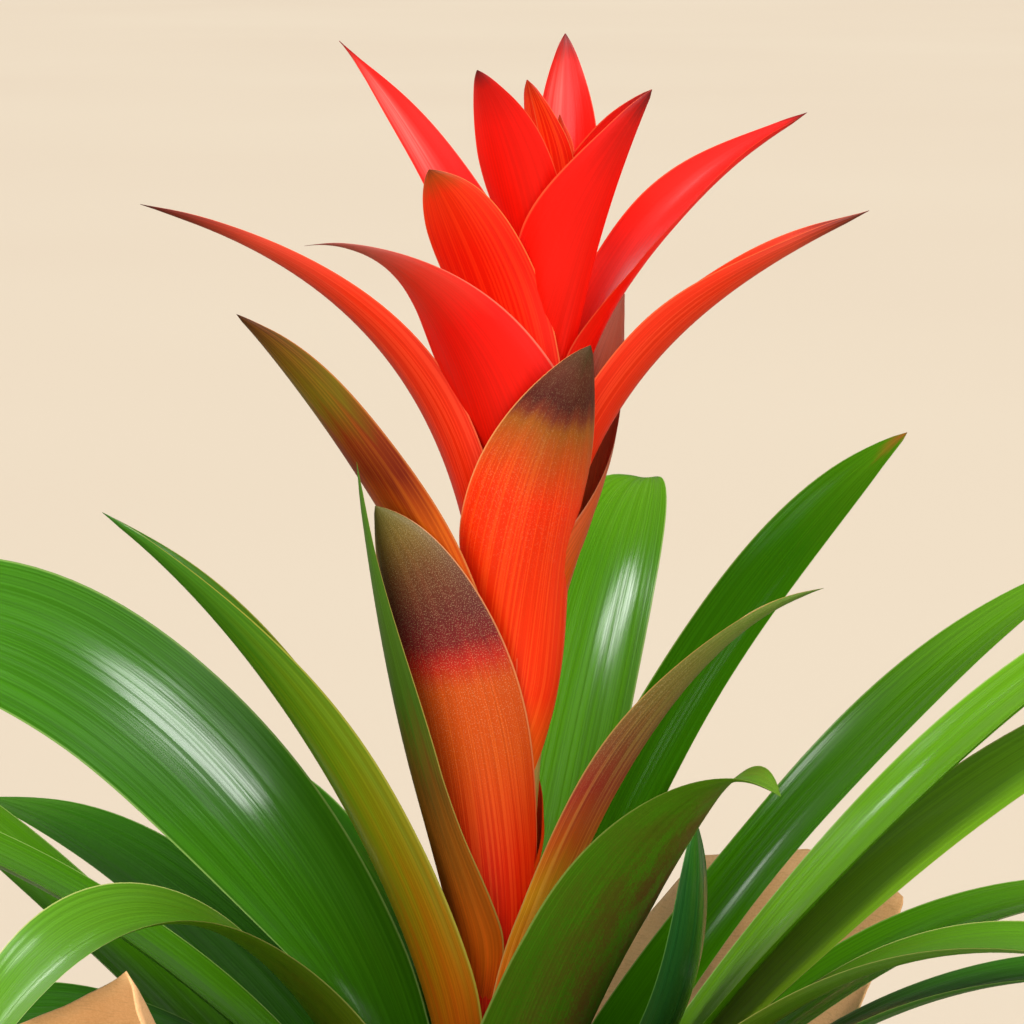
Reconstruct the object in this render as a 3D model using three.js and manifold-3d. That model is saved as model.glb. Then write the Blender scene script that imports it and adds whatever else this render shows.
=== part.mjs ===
// A flowering guzmania in a nursery pot, with a square of kraft paper gathered round the pot.
// Millimetres, +Z up. The origin is on the pot's axis, at the surface that the part stands on.
// An azimuth is counted in degrees from +X towards +Y. The plant's front faces -Y.
import * as THREE from 'three';
import { mergeVertices } from 'three/addons/utils/BufferGeometryUtils.js';
import Module from 'manifold-3d';

const wasm = await Module();
wasm.setup();

// Clearances
const GAP = 0.3;
const SINK = 0.6;

// Pot: a tapered tub with a straight rim band and drainage holes in its floor
const POT = {
  base: 44, top: 58, height: 105, wall: 1.6, rim: 14, rimStep: 2,
  holeRadius: 4, holes: 6, holeRing: 28, holeRound: 16,
  round: 28,
};

// Soil, filled to a little below the rim, with a plain hole for the stem
const SOIL = { top: 96, mound: 3, moundFrom: 0.6, holeRadius: 12, holeDepth: 30 };

// Stem: a short cone that the leaves stand on, and the stalk that leans out of it
const STEM = { foot: 29, topRadius: 11.4, bottom: 97, top: 138, round: 28 };
const STALK = { foot: 150, footRadius: 9, tipRadius: 3.2, length: 252, lean: 5.2, overlap: 2, round: 20 };

// Rings of leaves round the stem: the leaf bases nest, each ring outside the one before
const RING = { first: 12.8, step: 1.2 };

// Kraft paper: a square sheet with the pot in its middle, gathered up into pleats
const PAPER = {
  thickness: 1, foot: 47, full: 0.84, pleats: 13, pleatAtFoot: 1.5, pleatAtRim: 4, pleatAtEdge: 7, round: 56,
  slack: 0.5, curl: 1.25, drift: 3,
};

// Height and reach of the paper's top edge by azimuth: the sheet's four corners stand up as points
const PAPER_EDGE = [
  { azimuth: 0, reach: 88, height: 148 },
  { azimuth: 15, reach: 104, height: 172 },
  { azimuth: 27, reach: 127, height: 203 },
  { azimuth: 40, reach: 120, height: 212 },
  { azimuth: 54, reach: 104, height: 208 },
  { azimuth: 72, reach: 86, height: 166 },
  { azimuth: 92, reach: 80, height: 146 },
  { azimuth: 114, reach: 90, height: 164 },
  { azimuth: 134, reach: 112, height: 200 },
  { azimuth: 152, reach: 92, height: 166 },
  { azimuth: 178, reach: 84, height: 146 },
  { azimuth: 196, reach: 100, height: 172 },
  { azimuth: 209, reach: 123, height: 206 },
  { azimuth: 225, reach: 113, height: 226 },
  { azimuth: 233, reach: 112, height: 204 },
  { azimuth: 246, reach: 96, height: 172 },
  { azimuth: 266, reach: 82, height: 146 },
  { azimuth: 288, reach: 84, height: 148 },
  { azimuth: 304, reach: 98, height: 172 },
  { azimuth: 317, reach: 112, height: 196 },
  { azimuth: 334, reach: 98, height: 168 },
];

// Leaf and bract blades
const BLADE = { thickness: 0.8, halfTip: 0.6, widenBy: 0.3, rollFrom: 0.15, rollBy: 0.6 };

// How a blade narrows: full width up to hold, then towards the tip
const OUTLINES = {
  tail: { hold: 0.42, power: 1.25, sharp: 1.7 },
  long: { hold: 0.3, power: 1.5, sharp: 1.15 },
  lance: { hold: 0.42, power: 1.8, sharp: 1 },
  broad: { hold: 0.5, power: 2.2, sharp: 0.85 },
  strap: { hold: 0.62, power: 2.4, sharp: 0.8 },
};

// A blade's spine is a cubic curve in the upright plane at its azimuth. It starts at the root, sets out
// up the stem for rise, and is drawn by the shoulder to the tip, both given as [reach, height].
// Each half is curled as a circle round the stem would be, until that is flatter than its own fold.
// width is the flat width, fold and crease are in degrees, wrap is the half angle that the base takes
// round the stem, roll the twist, and sway how far the tip drifts sideways.

// Bracts, heights along the stalk from its foot
const BRACT_STEPS = 8;
const BRACT_SIDES = 2;
const BRACTS = [
  // low left, a channel that is half way to a leaf
  { azimuth: 187, root: 5, rise: 41, shoulder: [55, 128], tip: [108, 163], width: 44, fold: 77, wrap: 75,
    roll: 5, sway: -1, outline: 'lance' },
  // low right, narrow and half way to a leaf
  { azimuth: 335, root: 15, rise: 58, shoulder: [38, 147], tip: [77, 164], width: 28, fold: 50, wrap: 75,
    outline: 'lance' },
  // low front, broad and leaning left
  { azimuth: 248, root: 28, rise: 42, shoulder: [22, 141], tip: [33, 172], width: 40, fold: 48, wrap: 75,
    roll: 4, sway: -30, outline: 'broad' },
  // low left, behind the broad one
  { azimuth: 196, root: 35, rise: 35, shoulder: [30, 93], tip: [50, 183], width: 34, fold: 35, wrap: 70,
    sway: 9, outline: 'lance' },
  // low right, at the back
  { azimuth: 47, root: 48, rise: 40, shoulder: [5, 90], tip: [11, 104], width: 24, fold: 40, wrap: 75,
    roll: 28, sway: 3, outline: 'lance' },
  // middle left, long arching channel
  { azimuth: 175, root: 75, rise: 88, shoulder: [24, 223], tip: [105, 238], width: 35, fold: 76, wrap: 60,
    roll: 14, sway: 5, outline: 'lance' },
  // middle left, brown pointed one below it
  { azimuth: 191, root: 92, rise: 47, shoulder: [66, 205], tip: [81, 217], width: 33, fold: 64, wrap: 45,
    roll: 19, sway: 13, outline: 'lance' },
  // middle front, broad with a dark tip
  { azimuth: 241, root: 98, rise: 36, shoulder: [22, 176], tip: [19, 217], width: 42, fold: 45, wrap: 65,
    roll: 45, sway: 20, outline: 'broad' },
  // middle back
  { azimuth: 59, root: 105, rise: 53, shoulder: [9, 169], tip: [34, 224], width: 48, fold: 52, wrap: 75,
    roll: 10, outline: 'lance' },
  // upper right, long arching channel
  { azimuth: 352, root: 140, rise: 60, shoulder: [33, 229], tip: [74, 254], width: 32, fold: 75, wrap: 75,
    outline: 'lance' },
  // upper left, with a turned-down tail
  { azimuth: 223, root: 141, rise: 37, shoulder: [34, 243], tip: [78, 237], width: 46, fold: 63, wrap: 75,
    roll: 18, sway: -6, outline: 'tail' },
  // upper back, closing the bloom behind
  { azimuth: 105, root: 150, rise: 45, shoulder: [30, 232], tip: [62, 250], width: 28, fold: 45, wrap: 75,
    outline: 'lance' },
  // upper front right, folded along its middle
  { azimuth: 312, root: 160, rise: 48, shoulder: [8, 237], tip: [27, 279], width: 46, fold: 31, crease: 25,
    wrap: 80, roll: 39, sway: -1, outline: 'broad' },
  // upper right, broad
  { azimuth: 12, root: 172, rise: 58, shoulder: [30, 256], tip: [59, 275], width: 28, fold: 45, wrap: 75,
    roll: 12, outline: 'lance' },
  // upper left, short and broad
  { azimuth: 210, root: 175, rise: 30, shoulder: [28, 243], tip: [39.5, 255], width: 26, fold: 25,
    wrap: 75, roll: 40, outline: 'broad' },
  // top left, long
  { azimuth: 150, root: 188, rise: 30, shoulder: [44, 263], tip: [70, 281], width: 25, fold: 25, wrap: 75,
    roll: -20, outline: 'long' },
  // top front left
  { azimuth: 225, root: 205, rise: 22, shoulder: [20, 262], tip: [35, 280], width: 21, fold: 28, wrap: 75,
    roll: 25, outline: 'broad' },
  // crown of the bloom: back, front and middle
  { azimuth: 108, root: 222, rise: 18, shoulder: [9, 262], tip: [13, 289], width: 21, fold: 25, wrap: 75,
    outline: 'broad' },
  { azimuth: 218, root: 226, rise: 17, shoulder: [8, 262], tip: [16, 278], width: 15, fold: 25, wrap: 75,
    roll: 20, outline: 'broad' },
  { azimuth: 230, root: 236, rise: 12, shoulder: [4.5, 258], tip: [6, 270], width: 9, fold: 25, wrap: 75,
    outline: 'broad' },
];

// Leaves, inner rings first, heights from the ground
const LEAF_WRAP = 50;
const LEAF_STEPS = 12;
const LEAF_SIDES = 2;
const LEAF_LIFT = 0.8;
const LEAVES = [
  // upper right, straight
  { ring: 0, azimuth: 25, rise: 64, shoulder: [68, 294], tip: [125, 332], width: 33, fold: 25, roll: 4 },
  // big one on the left, turned to the front
  { ring: 0, azimuth: 165, rise: 44, shoulder: [100, 337], tip: [205, 268], width: 40, fold: 15, wrap: 42,
    roll: -60 },
  // upright behind the spike
  { ring: 1, azimuth: 70, rise: 62, shoulder: [105, 322], tip: [140, 306], width: 41, fold: 20, wrap: 46,
    outline: 'broad' },
  // broad, front right, with a turned-back tip
  { ring: 1, azimuth: 308, rise: 43, shoulder: [80, 288], tip: [114, 270], width: 43, fold: 25,
    outline: 'lance' },
  // right, upright, behind the broad one
  { ring: 2, azimuth: 334, rise: 22, shoulder: [70, 178], tip: [60, 248], width: 36, fold: 20 },
  // back left, upright
  { ring: 2, azimuth: 132, rise: 45, shoulder: [75, 250], tip: [130, 232], width: 34, fold: 22 },
  // front left arch
  { ring: 3, azimuth: 216, rise: 30, shoulder: [92, 304], tip: [155, 188], width: 36, fold: 25, roll: -3 },
  // back, behind the spike
  { ring: 3, azimuth: 81, rise: 30, shoulder: [90, 276], tip: [180, 240], width: 36, fold: 20 },
  // right, high arch at the back
  { ring: 4, azimuth: 29, rise: 24, shoulder: [116, 268], tip: [205, 292], width: 32, fold: 25,
    wrap: 43, roll: -4 },
  // left, rising under the big one
  { ring: 4, azimuth: 184, rise: 20, shoulder: [90, 243], tip: [185, 252], width: 34, fold: 22 },
  // right, bright arch
  { ring: 5, azimuth: 346, rise: 6, shoulder: [104, 282], tip: [200, 322], width: 36, fold: 25,
    wrap: 44, roll: 12 },
  // left, behind the big one
  { ring: 5, azimuth: 139, rise: 22, shoulder: [98, 218], tip: [190, 214], width: 36, fold: 20 },
  // right, lower arch
  { ring: 6, azimuth: 345, rise: 10, shoulder: [106, 268], tip: [200, 294], width: 38, fold: 22, roll: 18 },
  // left, dark arch
  { ring: 6, azimuth: 197, rise: 12, shoulder: [94, 258], tip: [180, 168], width: 36, fold: 20 },
  // front right arch
  { ring: 7, azimuth: 325, rise: 11, shoulder: [99, 262], tip: [200, 230], width: 38, fold: 22 },
  // back, arching away
  { ring: 7, azimuth: 112, rise: 20, shoulder: [100, 230], tip: [180, 190], width: 36, fold: 20, wrap: 46 },
  // right, low
  { ring: 8, azimuth: 7, rise: 18, shoulder: [105, 236], tip: [190, 212], width: 34, fold: 20, wrap: 46 },
  // left, straight, at the back
  { ring: 8, azimuth: 168, rise: 8, shoulder: [92, 206], tip: [185, 268], width: 34, fold: 25 },
  // front right, low
  { ring: 9, azimuth: 334, rise: 10, shoulder: [100, 236], tip: [190, 222], width: 34, fold: 20 },
  // back, low
  { ring: 9, azimuth: 80, rise: 20, shoulder: [105, 225], tip: [182, 170], width: 34, fold: 20 },
  // front left, low
  { ring: 10, azimuth: 258, rise: 16, shoulder: [95, 225], tip: [165, 160], width: 36, fold: 22 },
  // front right, lowest
  { ring: 11, azimuth: 290, rise: 10, shoulder: [95, 212], tip: [165, 150], width: 34, fold: 22 },
  // back left, lowest
  { ring: 11, azimuth: 166, rise: 14, shoulder: [105, 213], tip: [180, 156], width: 34, fold: 20 },
];

const COLOURS = {
  leaf: 0x2f7a1e, bract: 0xe0260f, pot: 0x6b4a35, soil: 0x33251a, paper: 0xcf9f6c,
};

const radians = THREE.MathUtils.degToRad;
const mix = THREE.MathUtils.lerp;
const smooth = THREE.MathUtils.smoothstep;

function stalkRadius(height) {
  return mix(STALK.footRadius, STALK.tipRadius, height / STALK.length);
}

function coneHeight(radius) {
  const along = (STEM.foot - radius) / (STEM.foot - STEM.topRadius);
  return mix(STEM.bottom, STEM.top, along);
}

// Point and slope of a cubic curve through four [reach, height] corners
function curvePoint([a, b, c, d], t) {
  const u = 1 - t;
  return [0, 1].map((k) => u ** 3 * a[k] + 3 * u * u * t * b[k] + 3 * u * t * t * c[k] + t ** 3 * d[k]);
}

function curveSlope([a, b, c, d], t) {
  const u = 1 - t;
  return [0, 1].map((k) => (
    3 * u * u * (b[k] - a[k]) + 6 * u * t * (c[k] - b[k]) + 3 * t * t * (d[k] - c[k])
  ));
}

// The middle surface of a blade, as rows of points from its root [reach, height] to its tip
function bladeRows(blade, root, steps, sides) {
  const { azimuth, rise, shoulder, tip, width, fold } = blade;
  const { roll = 0, sway = 0, crease = 0, wrap = LEAF_WRAP, outline = 'strap' } = blade;
  const out = new THREE.Vector3(Math.cos(radians(azimuth)), Math.sin(radians(azimuth)), 0);
  const across = new THREE.Vector3(-out.y, out.x, 0);
  const corners = [root, [root[0], root[1] + rise], shoulder, tip];
  const shape = OUTLINES[outline];
  const rows = [];
  for (let i = 0; i <= steps; i += 1) {
    const t = i / steps;
    const [reach, height] = curvePoint(corners, t);
    const [outwards, upwards] = curveSlope(corners, t);
    const centre = out.clone().multiplyScalar(reach).addScaledVector(across, sway * t * t).setZ(height);
    const ahead = out.clone().multiplyScalar(outwards).addScaledVector(across, 2 * sway * t).setZ(upwards);
    ahead.normalize();
    const side = across.clone().addScaledVector(ahead, -across.dot(ahead)).normalize();
    const inward = new THREE.Vector3().crossVectors(ahead, side);
    const turn = radians(roll) * smooth(t, BLADE.rollFrom, BLADE.rollBy);
    side.applyAxisAngle(ahead, turn);
    inward.applyAxisAngle(ahead, turn);
    const widened = smooth(t, 0, BLADE.widenBy);
    const full = mix(root[0] * radians(wrap), width / 2, widened);
    const cup = Math.max(radians(fold), full / reach);
    const bend = radians(crease) * widened;
    const taper = Math.max(0, (t - shape.hold) / (1 - shape.hold));
    const half = Math.max(BLADE.halfTip, full * (1 - taper ** shape.power) ** shape.sharp);
    const row = [];
    for (let j = -sides; j <= sides; j += 1) {
      const angle = bend + cup * Math.abs(j) / sides;
      const x = Math.sign(j) * half * (Math.sin(angle) - Math.sin(bend)) / cup;
      const y = half * (Math.cos(bend) - Math.cos(angle)) / cup;
      row.push(centre.clone().addScaledVector(side, x).addScaledVector(inward, y));
    }
    rows.push(row);
  }
  return rows;
}

function geometryOf(points, triangles) {
  const geometry = new THREE.BufferGeometry();
  geometry.setAttribute('position', new THREE.Float32BufferAttribute(points.flatMap((p) => p.toArray()), 3));
  geometry.setIndex(triangles.flat());
  return geometry;
}

// A closed blade: the middle surface moved half the thickness to each side, split alike on both faces
function bladeGeometry(rows) {
  const last = rows.length - 1;
  const edge = rows[0].length - 1;
  const normalAt = (i, j) => {
    const along = rows[Math.min(i + 1, last)][j].clone().sub(rows[Math.max(i - 1, 0)][j]);
    const over = rows[i][Math.min(j + 1, edge)].clone().sub(rows[i][Math.max(j - 1, 0)]);
    return along.cross(over).normalize();
  };
  const layer = (offset) => rows.flatMap((row, i) => (
    row.map((point, j) => point.clone().addScaledVector(normalAt(i, j), offset))
  ));
  const points = [...layer(BLADE.thickness / 2), ...layer(-BLADE.thickness / 2)];
  const count = (last + 1) * (edge + 1);
  const upper = (i, j) => i * (edge + 1) + j;
  const lower = (i, j) => count + upper(i, j);
  const triangles = [];
  for (let i = 0; i < last; i += 1) {
    for (let j = 0; j < edge; j += 1) {
      triangles.push([upper(i, j), upper(i + 1, j), upper(i + 1, j + 1)]);
      triangles.push([upper(i, j), upper(i + 1, j + 1), upper(i, j + 1)]);
      triangles.push([lower(i, j), lower(i + 1, j + 1), lower(i + 1, j)]);
      triangles.push([lower(i, j), lower(i, j + 1), lower(i + 1, j + 1)]);
    }
  }
  for (let i = 0; i < last; i += 1) {
    triangles.push([upper(i, 0), lower(i, 0), lower(i + 1, 0)]);
    triangles.push([upper(i, 0), lower(i + 1, 0), upper(i + 1, 0)]);
    triangles.push([upper(i, edge), lower(i + 1, edge), lower(i, edge)]);
    triangles.push([upper(i, edge), upper(i + 1, edge), lower(i + 1, edge)]);
  }
  for (let j = 0; j < edge; j += 1) {
    triangles.push([upper(0, j), lower(0, j + 1), lower(0, j)]);
    triangles.push([upper(0, j), upper(0, j + 1), lower(0, j + 1)]);
    triangles.push([upper(last, j), lower(last, j), lower(last, j + 1)]);
    triangles.push([upper(last, j), lower(last, j + 1), upper(last, j + 1)]);
  }
  return geometryOf(points, triangles);
}

// A closed body through rings of points, each ring counted the same way round, with its ends fanned shut
function ringBody(rings, first, last) {
  const round = rings[0].length;
  const points = [...rings.flat(), first, last];
  const triangles = [];
  const at = (i, j) => i * round + (j % round);
  for (let j = 0; j < round; j += 1) {
    for (let i = 0; i < rings.length - 1; i += 1) {
      triangles.push([at(i, j), at(i, j + 1), at(i + 1, j + 1)]);
      triangles.push([at(i, j), at(i + 1, j + 1), at(i + 1, j)]);
    }
    triangles.push([points.length - 2, at(0, j + 1), at(0, j)]);
    triangles.push([points.length - 1, at(rings.length - 1, j), at(rings.length - 1, j + 1)]);
  }
  return geometryOf(points, triangles);
}

// A turned body from a half profile of [radius, height] that starts and ends on the axis
function turned(profile, segments) {
  const geometry = new THREE.LatheGeometry(profile.map(([r, z]) => new THREE.Vector2(r, z)), segments);
  return geometry.rotateX(Math.PI / 2);
}

function rod(radius, bottom, top, x = 0, y = 0) {
  const cylinder = new THREE.CylinderGeometry(radius, radius, top - bottom, POT.holeRound);
  const geometry = cylinder.rotateX(Math.PI / 2);
  return geometry.translate(x, y, (top + bottom) / 2);
}

function solidOf(geometry) {
  const bare = geometry.clone();
  bare.deleteAttribute('normal');
  bare.deleteAttribute('uv');
  const merged = mergeVertices(bare, 1e-4);
  const vertProperties = new Float32Array(merged.attributes.position.array);
  const triVerts = new Uint32Array(merged.index.array);
  return new wasm.Manifold(new wasm.Mesh({ numProp: 3, vertProperties, triVerts }));
}

function geometryFrom(solid) {
  const mesh = solid.getMesh();
  const geometry = new THREE.BufferGeometry();
  geometry.setAttribute('position', new THREE.Float32BufferAttribute(mesh.vertProperties, 3));
  geometry.setIndex(new THREE.Uint32BufferAttribute(mesh.triVerts, 1));
  return geometry;
}

function meshOf(name, geometry, color, roughness) {
  const material = new THREE.MeshStandardMaterial({ color, roughness, metalness: 0 });
  const mesh = new THREE.Mesh(geometry, material);
  mesh.name = name;
  return mesh;
}

// The paper lies under the pot from this height, and the pot stands on it
const potFloor = PAPER.thickness + GAP;

function potRadius(height) {
  return mix(POT.base, POT.top, Math.min(1, Math.max(0, (height - potFloor) / POT.height)));
}

function makePot() {
  const { base, top, height, wall, rim, rimStep } = POT;
  const lip = potFloor + height;
  const shoulder = lip - rim;
  const profile = [
    [0, potFloor], [base, potFloor], [potRadius(shoulder), shoulder], [top + rimStep, shoulder + rimStep],
    [top + rimStep, lip], [top - wall, lip], [base - wall, potFloor + wall], [0, potFloor + wall],
  ];
  let tub = solidOf(turned(profile, POT.round));
  for (let k = 0; k < POT.holes; k += 1) {
    const turn = 2 * Math.PI * k / POT.holes;
    const [x, y] = [POT.holeRing * Math.cos(turn), POT.holeRing * Math.sin(turn)];
    tub = tub.subtract(solidOf(rod(POT.holeRadius, 0, potFloor + 2 * wall, x, y)));
  }
  return meshOf('pot', geometryFrom(tub), COLOURS.pot, 0.6);
}

function makeSoil() {
  const floor = potFloor + POT.wall + GAP;
  const inner = (height) => potRadius(height) - POT.wall - 2 * GAP;
  const { top, mound, moundFrom, holeRadius, holeDepth } = SOIL;
  const profile = [
    [0, floor], [inner(floor), floor], [inner(top - mound), top - mound], [inner(top) * moundFrom, top - mound / 3],
    [holeRadius, top], [holeRadius, top - holeDepth], [0, top - holeDepth],
  ];
  return meshOf('soil', turned(profile, POT.round), COLOURS.soil, 1);
}

// The edge of the paper at an azimuth, eased between the listed places
function paperEdge(azimuth) {
  const count = PAPER_EDGE.length;
  const next = PAPER_EDGE.findIndex((place) => place.azimuth > azimuth);
  const after = PAPER_EDGE[next < 0 ? 0 : next];
  const before = PAPER_EDGE[((next < 0 ? count : next) + count - 1) % count];
  const span = (after.azimuth - before.azimuth + 360) % 360;
  const part = ((azimuth - before.azimuth + 360) % 360) / span;
  return [mix(before.reach, after.reach, part), mix(before.height, after.height, part)];
}

// One strip of the paper from its foot to its edge, at a distance outside its inner face
function paperStrip(azimuth, offset) {
  const [reach, height] = paperEdge(azimuth);
  const rimHeight = potFloor + POT.height;
  const rimReach = POT.top + POT.rimStep + GAP + PAPER.slack;
  const wave = 0.5 + 0.5 * Math.sin(radians(azimuth) * PAPER.pleats + Math.sin(radians(azimuth) * PAPER.drift));
  const strip = [];
  for (const part of [0, 0.42, PAPER.full, 1]) {
    const pleat = mix(PAPER.pleatAtFoot, PAPER.pleatAtRim, part) * wave;
    const hug = mix(PAPER.foot, rimReach, Math.min(1, part / PAPER.full));
    strip.push([hug + pleat + offset, mix(0, rimHeight, part)]);
  }
  for (const part of [0.25, 0.5, 0.75, 1]) {
    const pleat = mix(PAPER.pleatAtRim, PAPER.pleatAtEdge, part) * wave;
    const flare = mix(rimReach, reach - PAPER.pleatAtEdge / 2, part ** PAPER.curl);
    strip.push([flare + pleat + offset, mix(rimHeight, height, part)]);
  }
  return strip;
}

function makePaper() {
  const round = PAPER.round;
  const { thickness } = PAPER;
  const strips = (offset) => Array.from({ length: round }, (_, k) => paperStrip(360 * k / round, offset));
  const ringsOf = (list, floor) => list[0].map((_, i) => list.map(([...strip], k) => {
    const turn = 2 * Math.PI * k / round;
    const [reach, height] = strip[i];
    return new THREE.Vector3(reach * Math.cos(turn), reach * Math.sin(turn), Math.max(floor, height));
  }));
  const outside = ringsOf(strips(thickness), 0);
  const inside = ringsOf(strips(0), thickness).reverse();
  const foot = new THREE.Vector3(0, 0, 0);
  const geometry = ringBody([...outside, ...inside], foot, new THREE.Vector3(0, 0, thickness));
  return meshOf('paper_wrap', geometry, COLOURS.paper, 0.9);
}

// Stem, stalk and bracts grew as one: the bracts' bases sink into the stalk and wrap it
function makeSpike() {
  const plugRadius = SOIL.holeRadius - GAP;
  const plugBottom = SOIL.top - SOIL.holeDepth + GAP;
  const stalkEnd = STALK.foot + STALK.overlap;
  const stem = turned([
    [0, plugBottom], [plugRadius, plugBottom], [plugRadius, STEM.bottom], [STEM.foot, STEM.bottom],
    [STEM.topRadius, STEM.top], [STALK.footRadius, stalkEnd], [0, stalkEnd],
  ], STEM.round);
  const stalk = turned([
    [0, -STALK.overlap], [STALK.footRadius, -STALK.overlap], [stalkRadius(STALK.length), STALK.length],
    [0, STALK.length + stalkRadius(STALK.length)],
  ], STALK.round);
  let bloom = solidOf(stalk);
  for (const bract of BRACTS) {
    const root = [stalkRadius(bract.root) - SINK / 2, bract.root];
    bloom = bloom.add(solidOf(bladeGeometry(bladeRows(bract, root, BRACT_STEPS, BRACT_SIDES))));
  }
  const leaning = new THREE.Matrix4().makeRotationY(radians(STALK.lean)).setPosition(0, 0, STALK.foot);
  const geometry = geometryFrom(bloom).applyMatrix4(leaning);
  const grown = solidOf(stem).add(solidOf(geometry)).decompose();
  grown.sort((a, b) => b.volume() - a.volume());
  return meshOf('flower_spike', geometryFrom(grown[0]), COLOURS.bract, 0.45);
}

function makeLeaf(leaf, number) {
  const radius = RING.first + RING.step * leaf.ring;
  const flat = radius * Math.cos(radians(LEAF_WRAP / LEAF_SIDES / 2));
  const root = [radius, coneHeight(flat - BLADE.thickness / 2) + LEAF_LIFT];
  const name = `leaf_${String(number).padStart(2, '0')}`;
  return meshOf(name, bladeGeometry(bladeRows(leaf, root, LEAF_STEPS, LEAF_SIDES)), COLOURS.leaf, 0.35);
}

const group = new THREE.Group();
group.name = 'potted_guzmania';
group.add(makePaper(), makePot(), makeSoil(), makeSpike());
LEAVES.forEach((leaf, index) => group.add(makeLeaf(leaf, index + 1)));

export default group;
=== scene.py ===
"""The looks of a flowering guzmania in a nursery pot, with kraft paper gathered round the pot.

Sizes are written in millimetres, as they are measured on the plant, and become metres where a mesh is made.
The origin is on the pot's axis, at the surface that it stands on. An azimuth is counted from +X towards +Y.
"""

import logging
import math
from collections.abc import Iterable, Sequence
from dataclasses import dataclass
from enum import Enum

import bpy
import numpy as np
from mathutils import Matrix, Vector, noise


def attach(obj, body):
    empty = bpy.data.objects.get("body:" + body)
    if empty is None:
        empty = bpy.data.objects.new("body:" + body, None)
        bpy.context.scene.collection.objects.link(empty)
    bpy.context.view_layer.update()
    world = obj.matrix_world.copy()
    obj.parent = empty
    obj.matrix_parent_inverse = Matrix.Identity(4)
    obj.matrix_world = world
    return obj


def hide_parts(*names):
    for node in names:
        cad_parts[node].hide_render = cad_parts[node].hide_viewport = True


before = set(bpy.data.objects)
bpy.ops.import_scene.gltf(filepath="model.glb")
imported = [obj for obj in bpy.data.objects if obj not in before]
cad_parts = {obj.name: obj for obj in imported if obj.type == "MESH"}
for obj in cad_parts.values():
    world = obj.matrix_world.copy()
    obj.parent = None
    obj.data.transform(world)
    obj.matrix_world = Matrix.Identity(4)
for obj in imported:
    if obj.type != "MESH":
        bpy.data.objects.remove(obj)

LOG = logging.getLogger("guzmania")
MM = 0.001

Point = tuple[float, float]
Colour = tuple[float, float, float, float]


def paint(code: str) -> Colour:
    """A colour for a shader from the code that a screen shows.

    Args:
        code: six hexadecimal digits, red, green and blue.

    Returns:
        The colour in linear light, with full alpha.
    """
    parts = [int(code[i:i + 2], 16) / 255 for i in (0, 2, 4)]
    red, green, blue = (p / 12.92 if p <= 0.04045 else ((p + 0.055) / 1.055) ** 2.4 for p in parts)
    return red, green, blue, 1.0


class Flow:
    """A value that runs through a node tree, so that sums of sockets are written as sums."""

    def __init__(self, tree: bpy.types.NodeTree, socket: bpy.types.NodeSocket) -> None:
        """Holds the tree and the socket that the value comes out of."""
        self.tree = tree
        self.socket = socket

    def math(self, operation: str, *others: "Flow | float") -> "Flow":
        """One Math node on this value.

        Args:
            operation: the node's operation.
            others: the values after this one.

        Returns:
            What the node puts out.
        """
        inputs = dict(enumerate((self, *others)))
        return put(self.tree, "ShaderNodeMath", inputs, operation=operation)

    def vector(self, operation: str, other: "Flow | Sequence[float] | None" = None) -> "Flow":
        """One Vector Math node on this value.

        Args:
            operation: the node's operation.
            other: the second vector, or the factor for SCALE.

        Returns:
            What the node puts out.
        """
        key = "Scale" if operation == "SCALE" else 1
        inputs = {0: self} if other is None else {0: self, key: other}
        return put(self.tree, "ShaderNodeVectorMath", inputs, operation=operation)

    def eased(self, start: float, end: float) -> "Flow":
        """Rises smoothly from 0 at start to 1 at end.

        Args:
            start: the value where the rise starts.
            end: the value where it ends.

        Returns:
            The eased value.
        """
        inputs = {"Value": self, "From Min": start, "From Max": end}
        return put(self.tree, "ShaderNodeMapRange", inputs, interpolation_type="SMOOTHSTEP")

    def __add__(self, other: "Flow | float") -> "Flow":
        """The sum."""
        return self.math("ADD", other)

    def __sub__(self, other: "Flow | float") -> "Flow":
        """The difference."""
        return self.math("SUBTRACT", other)

    def __rsub__(self, other: float) -> "Flow":
        """The difference from a plain number."""
        return self.math("MULTIPLY", -1.0).math("ADD", other)

    def __mul__(self, other: "Flow | float") -> "Flow":
        """The product."""
        return self.math("MULTIPLY", other)

    def __truediv__(self, other: "Flow | float") -> "Flow":
        """The quotient."""
        return self.math("DIVIDE", other)

    def __pow__(self, other: "Flow | float") -> "Flow":
        """The power."""
        return self.math("POWER", other)

    __radd__ = __add__
    __rmul__ = __mul__


def plug(tree: bpy.types.NodeTree, socket: bpy.types.NodeSocket, value: object) -> None:
    """Links a flowing value to a socket, or sets the socket to a plain one.

    Args:
        tree: the tree that the socket is in.
        socket: the input.
        value: a Flow or a plain value.
    """
    if isinstance(value, Flow):
        tree.links.new(value.socket, socket)
    else:
        socket.default_value = value


def put(tree: bpy.types.NodeTree, kind: str, inputs: dict | None = None, out: int | str = 0,
        **settings: object) -> Flow:
    """Adds a node.

    Args:
        tree: the tree to add it to.
        kind: the node's type.
        inputs: values by the input's name or number.
        out: the output that is handed back.
        settings: the node's own options.

    Returns:
        The value that comes out of the node.
    """
    made = tree.nodes.new(kind)
    for name, value in settings.items():
        setattr(made, name, value)
    for key, value in (inputs or {}).items():
        plug(tree, made.inputs[key], value)
    return Flow(tree, made.outputs[out])


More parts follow.
